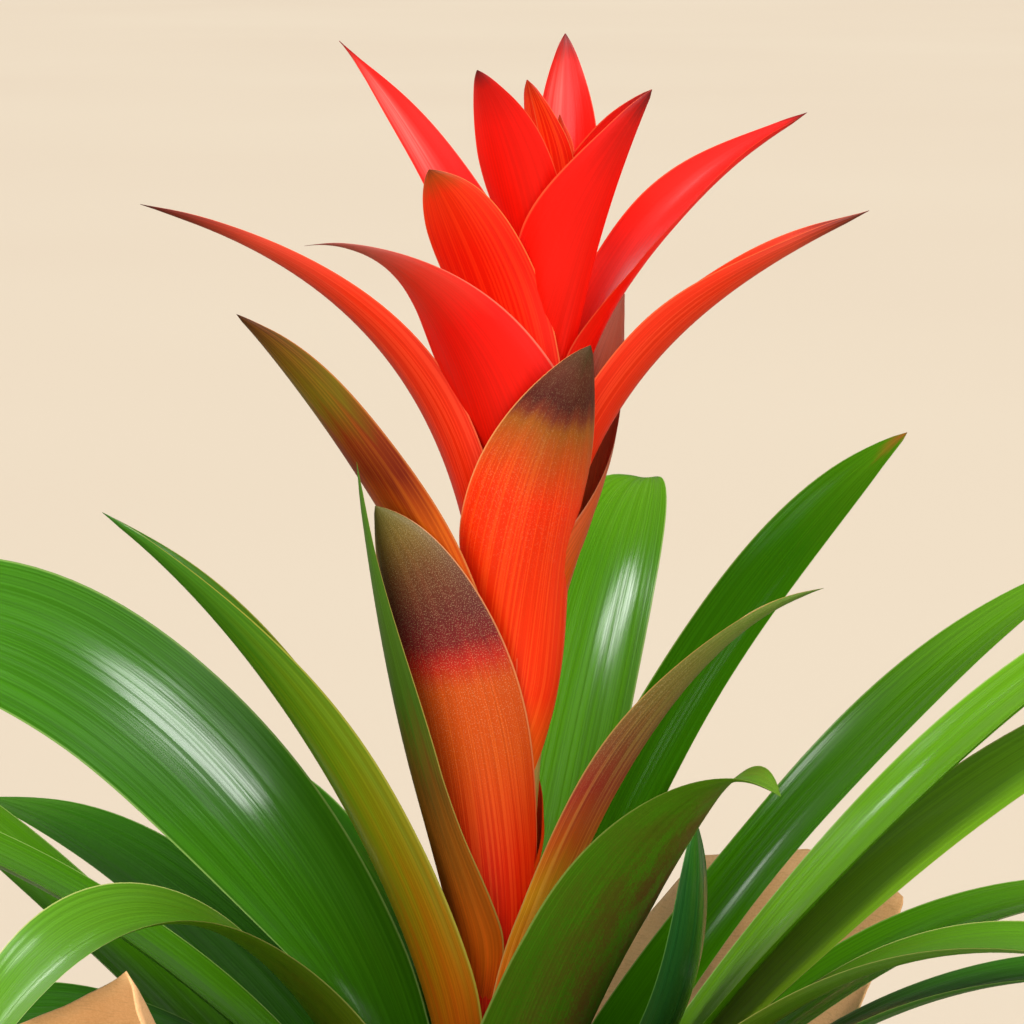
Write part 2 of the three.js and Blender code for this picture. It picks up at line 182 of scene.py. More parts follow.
def open_group(name: str, kind: str, inputs: dict[str, str], outputs: dict[str, str]) -> tuple:
    """Starts a node group with named sockets.

    Args:
        name: the group's name.
        kind: the tree's type.
        inputs: socket type by input name.
        outputs: socket type by output name.

    Returns:
        The tree, its inputs as flowing values by name, its output node, and the identifiers by name.
    """
    tree = bpy.data.node_groups.new(name, kind)
    keys = {}
    for label, socket_type in inputs.items():
        keys[label] = tree.interface.new_socket(label, in_out="INPUT", socket_type=socket_type).identifier
    for label, socket_type in outputs.items():
        tree.interface.new_socket(label, in_out="OUTPUT", socket_type=socket_type)
    entry = tree.nodes.new("NodeGroupInput")
    leave = tree.nodes.new("NodeGroupOutput")
    values = {label: Flow(tree, entry.outputs[label]) for label in inputs}
    return tree, values, leave, keys


def attribute(tree: bpy.types.NodeTree, name: str, out: str = "Fac") -> Flow:
    """Reads one of a piece's own attributes in a shader."""
    return put(tree, "ShaderNodeAttribute", out=out, attribute_name=name)


def blend(tree: bpy.types.NodeTree, factor: "Flow | float", below: "Flow | Colour",
          above: "Flow | Colour", how: str = "MIX") -> Flow:
    """Mixes two colours.

    Args:
        tree: the shader tree.
        factor: how much of the upper colour.
        below: the first colour.
        above: the second colour.
        how: the blend type.

    Returns:
        The mixed colour.
    """
    made = tree.nodes.new("ShaderNodeMix")
    made.data_type = "RGBA"
    made.blend_type = how
    plug(tree, made.inputs[0], factor)
    plug(tree, made.inputs[6], below)
    plug(tree, made.inputs[7], above)
    return Flow(tree, made.outputs[2])


def ramp(tree: bpy.types.NodeTree, factor: Flow, stops: Iterable[tuple[float, Colour]]) -> Flow:
    """A colour ramp.

    Args:
        tree: the shader tree.
        factor: the place along the ramp.
        stops: place and colour, lowest place first.

    Returns:
        The colour.
    """
    made = tree.nodes.new("ShaderNodeValToRGB")
    plug(tree, made.inputs[0], factor)
    places = made.color_ramp.elements
    listed = list(stops)
    while len(places) < len(listed):
        places.new(1.0)
    for element, (place, colour) in zip(places, listed):
        element.position = place
        element.color = colour
    return Flow(tree, made.outputs[0])


def noise_at(tree: bpy.types.NodeTree, place: Flow, scale: Sequence[float], detail: float = 2.0) -> Flow:
    """Soft noise on stretched coordinates.

    Args:
        tree: the shader tree.
        place: the coordinates.
        scale: how often the noise changes along each of them.
        detail: the noise's detail.

    Returns:
        The noise, from 0 to 1.
    """
    stretched = place.vector("MULTIPLY", tuple(scale))
    return put(tree, "ShaderNodeTexNoise", {"Vector": stretched, "Scale": 1.0, "Detail": detail})


class Effects:
    """The shader groups that several finishes share.

    The scales say how often a noise changes across and along a blade, in changes a millimetre. Those of the
    soft patches are in changes a metre.
    """

    VEIN = (2.1, 0.012, 1.0)
    FLUTE = (0.27, 0.0035, 1.0)
    MOTTLE = (2.2, 0.6, 1.0)
    PATCH = (0.16, 0.07, 1.0)
    SPECK = (2.8, 1.5, 1.0)
    DUST = (4.4, 3.0, 1.0)
    SOFT_PATCH = (22.0, 22.0, 22.0)
    SCURF_LOWEST = 0.30
    SCURF_DROP = 0.34
    SCURF_SPAN = 0.16

    def __init__(self) -> None:
        """Builds each group once."""
        self.veins = self._veins()
        self.rim = self._rim()
        self.scurf = self._scurf()
        self.grit = self._grit()

    def _veins(self) -> bpy.types.NodeTree:
        """Ridges that run the length of a blade: fine parallel veins and broader flutes.

        Returns:
            The group, which takes the blade's grain and the two depths in millimetres.
        """
        tree, given, leave, _ = open_group(
            "veins", "ShaderNodeTree",
            {"Grain": "NodeSocketVector", "Fine": "NodeSocketFloat", "Broad": "NodeSocketFloat"},
            {"Height": "NodeSocketFloat", "Line": "NodeSocketFloat"},
        )
        line = noise_at(tree, given["Grain"], self.VEIN, 1.5)
        flute = noise_at(tree, given["Grain"], self.FLUTE, 1.0)
        mottle = noise_at(tree, given["Grain"], self.MOTTLE, 2.0)
        height = line * given["Fine"] + flute * given["Broad"] + mottle * given["Fine"] * 0.25
        plug(tree, leave.inputs["Height"], height)
        plug(tree, leave.inputs["Line"], line.eased(0.36, 0.66))
        return tree

    def _rim(self) -> bpy.types.NodeTree:
        """The thin dry line along a blade's two edges.

        Returns:
            The group, which takes the place across the blade and the line's share of the half width.
        """
        tree, given, leave, _ = open_group(
            "rim", "ShaderNodeTree",
            {"Across": "NodeSocketFloat", "Share": "NodeSocketFloat"},
            {"Mask": "NodeSocketFloat"},
        )
        inwards = (1.0 - given["Across"].math("ABSOLUTE")) / given["Share"]
        plug(tree, leave.inputs["Mask"], 1.0 - inwards.eased(0.45, 1.0))
        return tree

    def _scurf(self) -> bpy.types.NodeTree:
        """Fine pale and dark scales in rows, as on the sheath of a bromeliad.

        Returns:
            The group, which takes the blade's grain and how much of it is covered.
        """
        tree, given, leave, _ = open_group(
            "scurf", "ShaderNodeTree",
            {"Grain": "NodeSocketVector", "Amount": "NodeSocketFloat"},
            {"Mask": "NodeSocketFloat", "Dots": "NodeSocketFloat"},
        )
        patch = noise_at(tree, given["Grain"], self.PATCH, 3.0)
        speck = noise_at(tree, given["Grain"], self.SPECK, 1.5)
        dust = noise_at(tree, given["Grain"], self.DUST, 0.0)
        threshold = 1.0 - given["Amount"]
        raised = patch * 0.5 + speck * 0.5
        lowest = threshold * self.SCURF_DROP + self.SCURF_LOWEST
        share = (raised - lowest) / self.SCURF_SPAN
        plug(tree, leave.inputs["Mask"], share.math("MINIMUM", 1.0).math("MAXIMUM", 0.0) * given["Amount"])
        plug(tree, leave.inputs["Dots"], dust.eased(0.60, 0.72))
        return tree

    def _grit(self) -> bpy.types.NodeTree:
        """Uneven matter seen close by: fine grain over slow patches.

        Returns:
            The group, which takes object coordinates, the size of a grain in millimetres and its depth.
        """
        tree, given, leave, _ = open_group(
            "grit", "ShaderNodeTree",
            {"Place": "NodeSocketVector", "Grain": "NodeSocketFloat", "Depth": "NodeSocketFloat"},
            {"Height": "NodeSocketFloat", "Fine": "NodeSocketFloat", "Patch": "NodeSocketFloat"},
        )
        scaled = given["Place"].vector("SCALE", given["Grain"] ** -1.0 * 1000.0)
        fine = put(tree, "ShaderNodeTexNoise", {"Vector": scaled, "Scale": 1.0, "Detail": 4.0})
        patch = noise_at(tree, given["Place"], self.SOFT_PATCH, 3.0)
        plug(tree, leave.inputs["Height"], fine * given["Depth"])
        plug(tree, leave.inputs["Fine"], fine)
        plug(tree, leave.inputs["Patch"], patch)
        return tree


def use(tree: bpy.types.NodeTree, group: bpy.types.NodeTree, **inputs: object) -> dict[str, Flow]:
    """Places a shared group in a material.

    Args:
        tree: the material's tree.
        group: the group.
        inputs: values by the group's input names.

    Returns:
        The group's outputs by name.
    """
    made = tree.nodes.new("ShaderNodeGroup")
    made.node_tree = group
    for name, value in inputs.items():
        plug(tree, made.inputs[name], value)
    return {socket.name: Flow(tree, socket) for socket in made.outputs}


def new_material(name: str) -> tuple[bpy.types.Material, bpy.types.NodeTree, bpy.types.Node]:
    """A material with one Principled shader.

    Args:
        name: the material's name.

    Returns:
        The material, its tree and the shader.
    """
    material = bpy.data.materials.new(name)
    material.use_nodes = True
    tree = material.node_tree
    return material, tree, tree.nodes["Principled BSDF"]


def relief(tree: bpy.types.NodeTree, shader: bpy.types.Node, height: Flow) -> None:
    """Lets a height in millimetres bend the light on a surface.

    Args:
        tree: the material's tree.
        shader: the Principled shader.
        height: the height.
    """
    bump = put(tree, "ShaderNodeBump", {"Height": height, "Distance": MM, "Strength": 1.0})
    plug(tree, shader.inputs["Normal"], bump)


@dataclass(frozen=True)
class BladeFinish:
    """The colours and gloss of one kind of blade, from its root to its tip.

    Stops give the colours by the place along the blade. Wander and streak are how far that place shifts in
    patches and in lengthwise streaks, and contrast is how much the veins darken it. Scurf covers the blade
    with scales up to scurf_ends, more on one side where scurf_side isn't 0. Threads are pale lines up to
    threads_end. Fine and broad are the depths of veins and flutes in millimetres. The coat is the wet
    gloss, which starts at coat_from.
    """

    DRIFT = (0.07, 0.03, 1.0)
    THREAD = (0.55, 0.012, 1.0)
    DOT_COLOUR = "d8c690"
    # The colour of the pale highlight band that is painted on fresh bracts.
    PAINTED_HIGHLIGHT_COLOUR = "ffc9be"
    RIM_SHOWS = 0.7
    ROUGH_BY_LINE = 0.08
    ROUGH_BY_PATCH = 0.16
    GLOSS_BY_THREAD = 3.2
    GLOSS_BY_LINE = 0.6
    GLOSS_BASE = 0.3
    GLOSS_LEAST = 0.08
    COAT_RISE = 0.3

    name: str
    stops: tuple[tuple[float, str], ...]
    rim: str
    scurf_colour: str = "5a4422"
    scurf: float = 0.0
    scurf_ends: float = 0.5
    scurf_side: float = 0.0
    dots: float = 0.0
    wander: float = 0.12
    streak: float = 0.12
    contrast: float = 0.22
    midline: float = 0.0
    # How strongly a pale highlight band is painted into the colour: a painted sheen.
    painted_sheen: float = 0.0
    rim_share: float = 0.035
    threads: float = 0.0
    threads_end: float = 1.3
    thread_colour: str = "f0b23c"
    fine: float = 0.10
    broad: float = 0.20
    roughness: float = 0.36
    specular: float = 0.14
    coat: float = 0.06
    coat_from: float = -1.0
    coat_roughness: float = 0.2

    def material(self, effects: Effects) -> bpy.types.Material:
        """Builds the finish.

        Args:
            effects: the shared groups.

        Returns:
            The material.
        """
        material, tree, shader = new_material(self.name)
        grain = attribute(tree, "grain", "Vector")
        along = attribute(tree, "along")
        across = attribute(tree, "across")
        veins = use(tree, effects.veins, Grain=grain, Fine=self.fine, Broad=self.broad)
        drift = noise_at(tree, grain, self.DRIFT, 2.0) - 0.5
        thread = noise_at(tree, grain, self.THREAD, 2.0) - 0.5
        place = along + drift * self.wander + thread * self.streak
        colour = ramp(tree, place, [(at, paint(code)) for at, code in self.stops])
        shade = veins["Line"] * self.contrast + (1.0 - self.contrast / 2)
        colour = blend(tree, 1.0, colour, self._grey(tree, shade), "MULTIPLY")
        if self.threads:
            line = veins["Line"].eased(0.45, 0.95)
            line = line * (1.0 - along.eased(self.threads_end - 0.12, self.threads_end))
            colour = blend(tree, line * self.threads, colour, paint(self.thread_colour))
        # Paints a pale highlight band into the base colour: a painted sheen that stands in for gloss.
        if self.painted_sheen:
            painted_highlight = self._painted_highlight_band(along, across, thread)
            colour = blend(tree, painted_highlight * self.painted_sheen, colour, paint(self.PAINTED_HIGHLIGHT_COLOUR))
        if self.midline:
            line = 1.0 - across.math("ABSOLUTE").eased(0.012, 0.045)
            colour = blend(tree, line * self.midline, colour, paint(self.rim))
        if self.scurf:
            covered = use(tree, effects.scurf, Grain=grain, Amount=self.scurf)
            near = 1.0 - along.eased(self.scurf_ends * 0.45, self.scurf_ends)
            near = near * (across * self.scurf_side + 1.0).math("MAXIMUM", 0.0)
            colour = blend(tree, covered["Mask"] * near, colour, paint(self.scurf_colour))
            dots = covered["Dots"] * along.eased(0.4, 0.7) * self.dots
            colour = blend(tree, dots, colour, paint(self.DOT_COLOUR))
        edge = use(tree, effects.rim, Across=across, Share=self.rim_share)
        colour = blend(tree, edge["Mask"] * self.RIM_SHOWS, colour, paint(self.rim))
        plug(tree, shader.inputs["Base Color"], colour)
        rough = veins["Line"] * self.ROUGH_BY_LINE + drift * self.ROUGH_BY_PATCH + self.roughness
        plug(tree, shader.inputs["Roughness"], rough)
        shader.inputs["Specular IOR Level"].default_value = self.specular
        streaks = thread * self.GLOSS_BY_THREAD + veins["Line"] * self.GLOSS_BY_LINE + self.GLOSS_BASE
        streaks = streaks.math("MAXIMUM", self.GLOSS_LEAST)
        streaks = streaks * along.eased(self.coat_from, self.coat_from + self.COAT_RISE)
        plug(tree, shader.inputs["Coat Weight"], (streaks * self.coat).math("MINIMUM", 1.0))
        shader.inputs["Coat Roughness"].default_value = self.coat_roughness
        relief(tree, shader, veins["Height"])
        return material

    @staticmethod
    def _grey(tree: bpy.types.NodeTree, shade: Flow) -> Flow:
        """A grey of that lightness."""
        return put(tree, "ShaderNodeCombineColor", {0: shade, 1: shade, 2: shade})

    @staticmethod
    def _painted_highlight_band(along: Flow, across: Flow, thread: Flow) -> Flow:
        """A painted highlight: a pale band on one side of a fresh bract, standing in for gloss.

        Args:
            along: the place along the blade.
            across: the place across it.
            thread: slow noise that runs with the grain.

        Returns:
            A mask.
        """
        band = 1.0 - (across - 0.35).math("ABSOLUTE").eased(0.1, 0.75)
        return band * along.eased(0.45, 0.7) * (1.0 - along.eased(0.8, 1.0)) * (thread * 2.2 + 0.75)


class Finish(Enum):
    """The kinds of blade on this plant."""

    SCARLET = BladeFinish(
        "scarlet",
        ((0.0, "ea3206"), (0.3, "f01a04"), (0.8, "f21206"), (0.93, "d4120a"), (1.0, "5c1a1c")),
        "f25a34", contrast=0.10, roughness=0.42, broad=0.10, fine=0.05, wander=0.05, streak=0.05,
    )
    CURLED = BladeFinish(
        "curled",
        ((0.0, "ea3206"), (0.3, "f01a04"), (0.60, "f21206"), (0.74, "dc3424"), (0.86, "b4544a"),
         (1.0, "74403a")),
        "f27a60", contrast=0.10, roughness=0.40, broad=0.12, fine=0.05, wander=0.05, streak=0.06,
    )
    # Blush has a pale highlight band painted into its colour.
    BLUSH = BladeFinish(
        "blush",
        ((0.0, "ee2206"), (0.5, "f4140a"), (0.9, "ea180e"), (1.0, "6c1a18")),
        "f27a60", contrast=0.12, roughness=0.38, coat=0.12, painted_sheen=0.26, broad=0.14, fine=0.06, wander=0.05,
        streak=0.05,
    )
    EMBER = BladeFinish(
        "ember",
        ((0.0, "e8420a"), (0.3, "ee3006"), (0.7, "f02406"), (0.9, "e02c08"), (1.0, "a8200c")),
        "f28a4c", contrast=0.16, roughness=0.42, broad=0.12, fine=0.06, midline=0.35, wander=0.06,
        streak=0.07, threads=0.08,
    )
    MAROON_TIP = BladeFinish(
        "maroon_tip",
        ((0.0, "ee3a06"), (0.35, "ee2a06"), (0.72, "ea3212"), (0.86, "d2402a"), (0.95, "7c2a1e"),
         (1.0, "4c1a14")),
        "f0683a", contrast=0.16, roughness=0.40, broad=0.14, fine=0.06, midline=0.45, wander=0.05,
        streak=0.06, threads=0.08, thread_colour="f4905c",
    )
    OLIVE_SHOULDER = BladeFinish(
        "olive_shoulder",
        ((0.0, "f02004"), (0.66, "f01c04"), (0.86, "ea2e08"), (0.95, "b84410"), (1.0, "6a3010")),
        "f07a3c", contrast=0.12, roughness=0.42, broad=0.12, fine=0.06, streak=0.06, threads=0.03,
    )
    DARK_TIP = BladeFinish(
        "dark_tip",
        ((0.0, "f0901c"), (0.1, "f46410"), (0.24, "f83404"), (0.66, "f43004"), (0.74, "cc440c"),
         (0.82, "9a5214"), (0.85, "742e1c"), (0.88, "501e18"), (0.94, "5c2c1e"), (1.0, "4a361c")),
        "eca060", contrast=0.12, roughness=0.46, broad=0.08, fine=0.05, wander=0.08, streak=0.04,
        scurf=0.14, scurf_colour="d8702c", scurf_ends=1.4, dots=0.1, threads=0.07, threads_end=0.85,
    )
    BANDED = BladeFinish(
        "banded",
        ((0.0, "d42004"), (0.14, "e82204"), (0.36, "ec2a04"), (0.53, "d44c06"), (0.64, "d04e0c"),
         (0.68, "c02418"), (0.715, "7c1c20"), (0.76, "662422"), (0.84, "6a3c22"), (0.92, "705824"),
         (1.0, "5c5a22")),
        "e09058", contrast=0.2, roughness=0.48, broad=0.07, fine=0.06, wander=0.03, streak=0.03, scurf=0.14,
        scurf_colour="b8683c", scurf_ends=1.5, dots=0.3, threads=0.11, threads_end=0.68,
        thread_colour="e89a38",
    )
    BROWN_TIP = BladeFinish(
        "brown_tip",
        ((0.0, "ea3c06"), (0.3, "dc4608"), (0.47, "c45008"), (0.57, "7c220a"), (0.63, "842e0c"),
         (0.72, "72600e"), (0.82, "705010"), (0.92, "5e3416"), (1.0, "3e2018")),
        "d08044", contrast=0.26, roughness=0.38, broad=0.14, fine=0.08, wander=0.06, streak=0.12,
        threads=0.16, thread_colour="c8801c",
    )
    GREEN_TIP = BladeFinish(
        "green_tip",
        ((0.0, "ea4408"), (0.2, "d05c0c"), (0.42, "9a5414"), (0.6, "664616"), (0.74, "3e5c14"),
         (1.0, "4c7820")),
        "b09848", contrast=0.26, roughness=0.38, broad=0.14, fine=0.08, wander=0.1, streak=0.2,
    )
    AMBER = BladeFinish(
        "amber",
        ((0.0, "e87a14"), (0.3, "e06c14"), (0.6, "e84608"), (1.0, "dc2c08")),
        "e83a14", contrast=0.2, roughness=0.42, broad=0.12, fine=0.08,
    )
    RUSSET = BladeFinish(
        "russet",
        ((0.0, "ea5a10"), (0.4, "d4520f"), (0.7, "b85232"), (1.0, "a25c46")),
        "c87a5a", contrast=0.22, roughness=0.38, broad=0.14, fine=0.08,
    )
    STREAKED = BladeFinish(
        "streaked",
        ((0.0, "e0400a"), (0.2, "ea6a14"), (0.33, "eaa01c"), (0.42, "dc601c"), (0.50, "b03c2c"),
         (0.58, "905434"), (0.68, "86723a"), (0.80, "78843a"), (0.92, "688a34"), (1.0, "547428")),
        "d0a05c", contrast=0.26, roughness=0.46, broad=0.10, fine=0.09, wander=0.05, streak=0.10, scurf=0.2,
        scurf_colour="a86a4c", scurf_ends=1.4, dots=0.25, threads=0.24, threads_end=0.7,
        thread_colour="e0b458",
    )
    LEAFY = BladeFinish(
        "leafy",
        ((0.0, "b83c06"), (0.16, "b8500a"), (0.30, "a05e08"), (0.44, "7e700a"), (0.62, "627c0a"),
         (0.80, "42740c"), (1.0, "327010")),
        "a8a03c", contrast=0.26, roughness=0.36, coat=0.5, specular=0.1, broad=0.18, fine=0.08, midline=0.4,
        wander=0.08, streak=0.26,
    )
    GREEN = BladeFinish(
        "green",
        ((0.0, "a8a030"), (0.10, "70901a"), (0.28, "478204"), (0.7, "427e04"), (1.0, "5a8e12")),
        "8fae58", contrast=0.28, streak=0.12, broad=0.3, roughness=0.36, specular=0.02, coat=0.9,
        coat_roughness=0.17,
    )
    SHINING = BladeFinish(
        "shining",
        ((0.0, "a8a030"), (0.10, "70901a"), (0.28, "3c7a04"), (0.6, "3c7a04"), (1.0, "5a8e12")),
        "8fae58", contrast=0.28, streak=0.12, broad=0.3, roughness=0.36, specular=0.0, coat=1.4,
        coat_from=0.42, coat_roughness=0.18,
    )
    DEEP = BladeFinish(
        "deep",
        ((0.0, "6c8a24"), (0.14, "3a7008"), (0.5, "2e6604"), (0.8, "316c06"), (0.95, "44780c"),
         (1.0, "8a5a20")),
        "86a84c", contrast=0.24, streak=0.08, broad=0.2, roughness=0.42, specular=0.0, coat=0.03,
        coat_roughness=0.16,
    )
    BRIGHT = BladeFinish(
        "bright",
        ((0.0, "b89a30"), (0.10, "949414"), (0.26, "62960a"), (0.7, "5a960a"), (1.0, "72ac20")),
        "a8c470", contrast=0.24, scurf=0.22, scurf_colour="6c6418", scurf_ends=0.42, broad=0.3,
        roughness=0.36, specular=0.02, coat=1.1, coat_from=0.3, coat_roughness=0.18,
    )
    MOSSY = BladeFinish(
        "mossy",
        ((0.0, "8a7a1c"), (0.14, "746c18"), (0.34, "5c7010"), (0.6, "48760c"), (0.85, "528a14"),
         (1.0, "649428")),
        "b8c070", contrast=0.26, scurf=0.34, scurf_colour="6c601c", scurf_ends=0.9, scurf_side=0.7,
        broad=0.2, roughness=0.38, specular=0.1, coat=0.3, coat_roughness=0.18,
    )
    GLOSSY = BladeFinish(
        "glossy",
        ((0.0, "7f9a24"), (0.12, "326806"), (0.5, "2f6606"), (0.85, "3c7a0a"), (1.0, "56901c")),
        "7fa050", contrast=0.28, roughness=0.36, specular=0.05, coat=1.3, coat_roughness=0.18, broad=0.6,
        fine=0.11,
    )
    DARK = BladeFinish(
        "dark",
        ((0.0, "6c8a24"), (0.14, "34680a"), (0.5, "2a6006"), (0.85, "2f6a0a"), (1.0, "447a18")),
        "7fa050", contrast=0.32, roughness=0.36, specular=0.02, coat=0.6, coat_roughness=0.17, broad=0.34,
        fine=0.10,
    )
    # Leaf green made darker and bluer as painted shade, for a leaf that stands in the shade of the others.
    SHADED_DARK_GREEN = BladeFinish(
        "shaded_dark_green",
        ((0.0, "4a6a1c"), (0.2, "1a4e1e"), (0.6, "164822"), (0.9, "1e5622"), (1.0, "2c6a14")),
        "5f8a40", contrast=0.3, roughness=0.34, specular=0.1, coat=1.6, coat_roughness=0.2, broad=0.6,
        fine=0.10,
    )
    SCURFY = BladeFinish(
        "scurfy",
        ((0.0, "5a4e18"), (0.2, "48660c"), (0.45, "42740c"), (0.8, "4a800e"), (1.0, "608c1c")),
        "8fa050", scurf=0.72, scurf_colour="60401c", scurf_ends=1.1, scurf_side=0.8, contrast=0.26,
        roughness=0.42, specular=0.1, coat=0.2, broad=0.16,
    )
    OLIVE = BladeFinish(
        "olive",
        ((0.0, "a88828"), (0.16, "989028"), (0.34, "88a022"), (0.6, "78a61c"), (1.0, "6ca81e")),
        "c0b868", contrast=0.26, scurf=0.25, scurf_colour="8c7034", scurf_ends=0.8, scurf_side=-0.6,
        roughness=0.46, specular=0.02, coat=0.3, broad=0.18, streak=0.2,
    )


class Outline(Enum):
    """How a blade narrows: full width up to hold, then towards the tip."""

    TAIL = (0.42, 1.25, 1.7)
    LONG = (0.3, 1.5, 1.15)
    LANCE = (0.42, 1.8, 1.0)
    BROAD = (0.5, 2.2, 0.85)
    STRAP = (0.62, 2.4, 0.8)


@dataclass(frozen=True, kw_only=True)
class Blade:
    """One leaf or bract. Its spine is a cubic curve in the upright plane at its azimuth.

    The spine starts at the root, sets out up the stem for rise, and is drawn by the shoulder to the tip,
    both given as (reach, height). Width is the flat width; fold, crease, wrap and roll are in degrees; sway
    is how far the tip drifts sideways; ripple is how far the edges wave.
    """

    azimuth: float
    rise: float
    shoulder: Point
    tip: Point
    width: float
    fold: float
    finish: Finish
    crease: float = 0.0
    wrap: float = 50.0
    roll: float = 0.0
    sway: float = 0.0
    ripple: float = 0.5
    outline: Outline = Outline.STRAP

    def length(self, root: Point) -> float:
        """How long the blade is.

        Args:
            root: the root's reach and height.

        Returns:
            The length of its spine in millimetres.
        """
        pulls = (root, (root[0], root[1] + self.rise), self.shoulder, self.tip)
        t = np.linspace(0, 1, 40)[:, None]
        weights = ((1 - t) ** 3, 3 * (1 - t) ** 2 * t, 3 * (1 - t) * t ** 2, t ** 3)
        spine = sum(weight * np.array(pull, float) for weight, pull in zip(weights, pulls))
        return float(np.linalg.norm(np.diff(spine, axis=0), axis=1).sum())


@dataclass(frozen=True, kw_only=True)
class Bract(Blade):
    """A coloured blade of the flower spike. Heights run along the stalk from its foot."""

    root: float
    wrap: float = 75.0
    outline: Outline = Outline.LANCE


@dataclass(frozen=True, kw_only=True)
class Leaf(Blade):
    """A green blade. Heights are over the table, and the ring says how far out round the stem it stands."""

    ring: int


BRACTS = (
    Bract(azimuth=187, root=5, rise=41, shoulder=(55, 128), tip=(108, 163), width=44, fold=77, roll=5,
          sway=-1, finish=Finish.LEAFY),
    Bract(azimuth=335, root=15, rise=58, shoulder=(38, 147), tip=(77, 164), width=28, fold=50,
          finish=Finish.STREAKED),
    Bract(azimuth=248, root=28, rise=42, shoulder=(22, 141), tip=(33, 172), width=40, fold=48, roll=4,
          sway=-30, outline=Outline.BROAD, finish=Finish.BANDED),
    Bract(azimuth=196, root=35, rise=35, shoulder=(30, 93), tip=(50, 183), width=34, fold=35, wrap=70,
          sway=9, finish=Finish.GREEN_TIP),
    Bract(azimuth=47, root=48, rise=40, shoulder=(5, 90), tip=(11, 104), width=24, fold=40, roll=28, sway=3,
          finish=Finish.AMBER),
    Bract(azimuth=175, root=75, rise=88, shoulder=(24, 223), tip=(105, 238), width=33, fold=76, wrap=60,
          roll=14, sway=5, finish=Finish.MAROON_TIP),
    Bract(azimuth=191, root=92, rise=47, shoulder=(66, 205), tip=(81, 217), width=33, fold=64, wrap=45,
          roll=19, sway=13, finish=Finish.BROWN_TIP),
    Bract(azimuth=241, root=98, rise=36, shoulder=(22, 176), tip=(19, 217), width=42, fold=45, wrap=65,
          roll=45, sway=20, outline=Outline.BROAD, finish=Finish.DARK_TIP),
    Bract(azimuth=59, root=105, rise=53, shoulder=(9, 169), tip=(34, 224), width=48, fold=52, roll=10,
          finish=Finish.RUSSET),
    Bract(azimuth=352, root=140, rise=60, shoulder=(33, 229), tip=(74, 254), width=32, fold=75,
          finish=Finish.MAROON_TIP),
    Bract(azimuth=223, root=141, rise=37, shoulder=(34, 243), tip=(78, 237), width=46, fold=63, roll=18,
          sway=-6, outline=Outline.TAIL, finish=Finish.CURLED),
    Bract(azimuth=105, root=150, rise=45, shoulder=(30, 232), tip=(62, 250), width=28, fold=45,
          finish=Finish.EMBER),
    Bract(azimuth=312, root=160, rise=48, shoulder=(8, 237), tip=(27, 279), width=46, fold=31, crease=25,
          wrap=80, roll=39, sway=-1, outline=Outline.BROAD, finish=Finish.SCARLET),
    Bract(azimuth=12, root=172, rise=58, shoulder=(30, 256), tip=(59, 275), width=28, fold=45, roll=12,
          finish=Finish.SCARLET),
    Bract(azimuth=210, root=175, rise=30, shoulder=(28, 243), tip=(39.5, 255), width=26, fold=25, roll=40,
          outline=Outline.BROAD, finish=Finish.OLIVE_SHOULDER),
    Bract(azimuth=150, root=188, rise=30, shoulder=(44, 263), tip=(70, 281), width=25, fold=25, roll=-20,
          outline=Outline.LONG, finish=Finish.BLUSH),
    Bract(azimuth=225, root=205, rise=22, shoulder=(20, 262), tip=(35, 280), width=21, fold=28, roll=25,
          outline=Outline.BROAD, finish=Finish.SCARLET),
    Bract(azimuth=108, root=222, rise=18, shoulder=(9, 262), tip=(13, 289), width=21, fold=25,
          outline=Outline.BROAD, finish=Finish.BLUSH),
    Bract(azimuth=218, root=226, rise=17, shoulder=(8, 262), tip=(16, 278), width=15, fold=25, roll=20,
          outline=Outline.BROAD, finish=Finish.EMBER),
    Bract(azimuth=230, root=236, rise=12, shoulder=(4.5, 258), tip=(6, 270), width=9, fold=25,
          outline=Outline.BROAD, finish=Finish.EMBER),
)

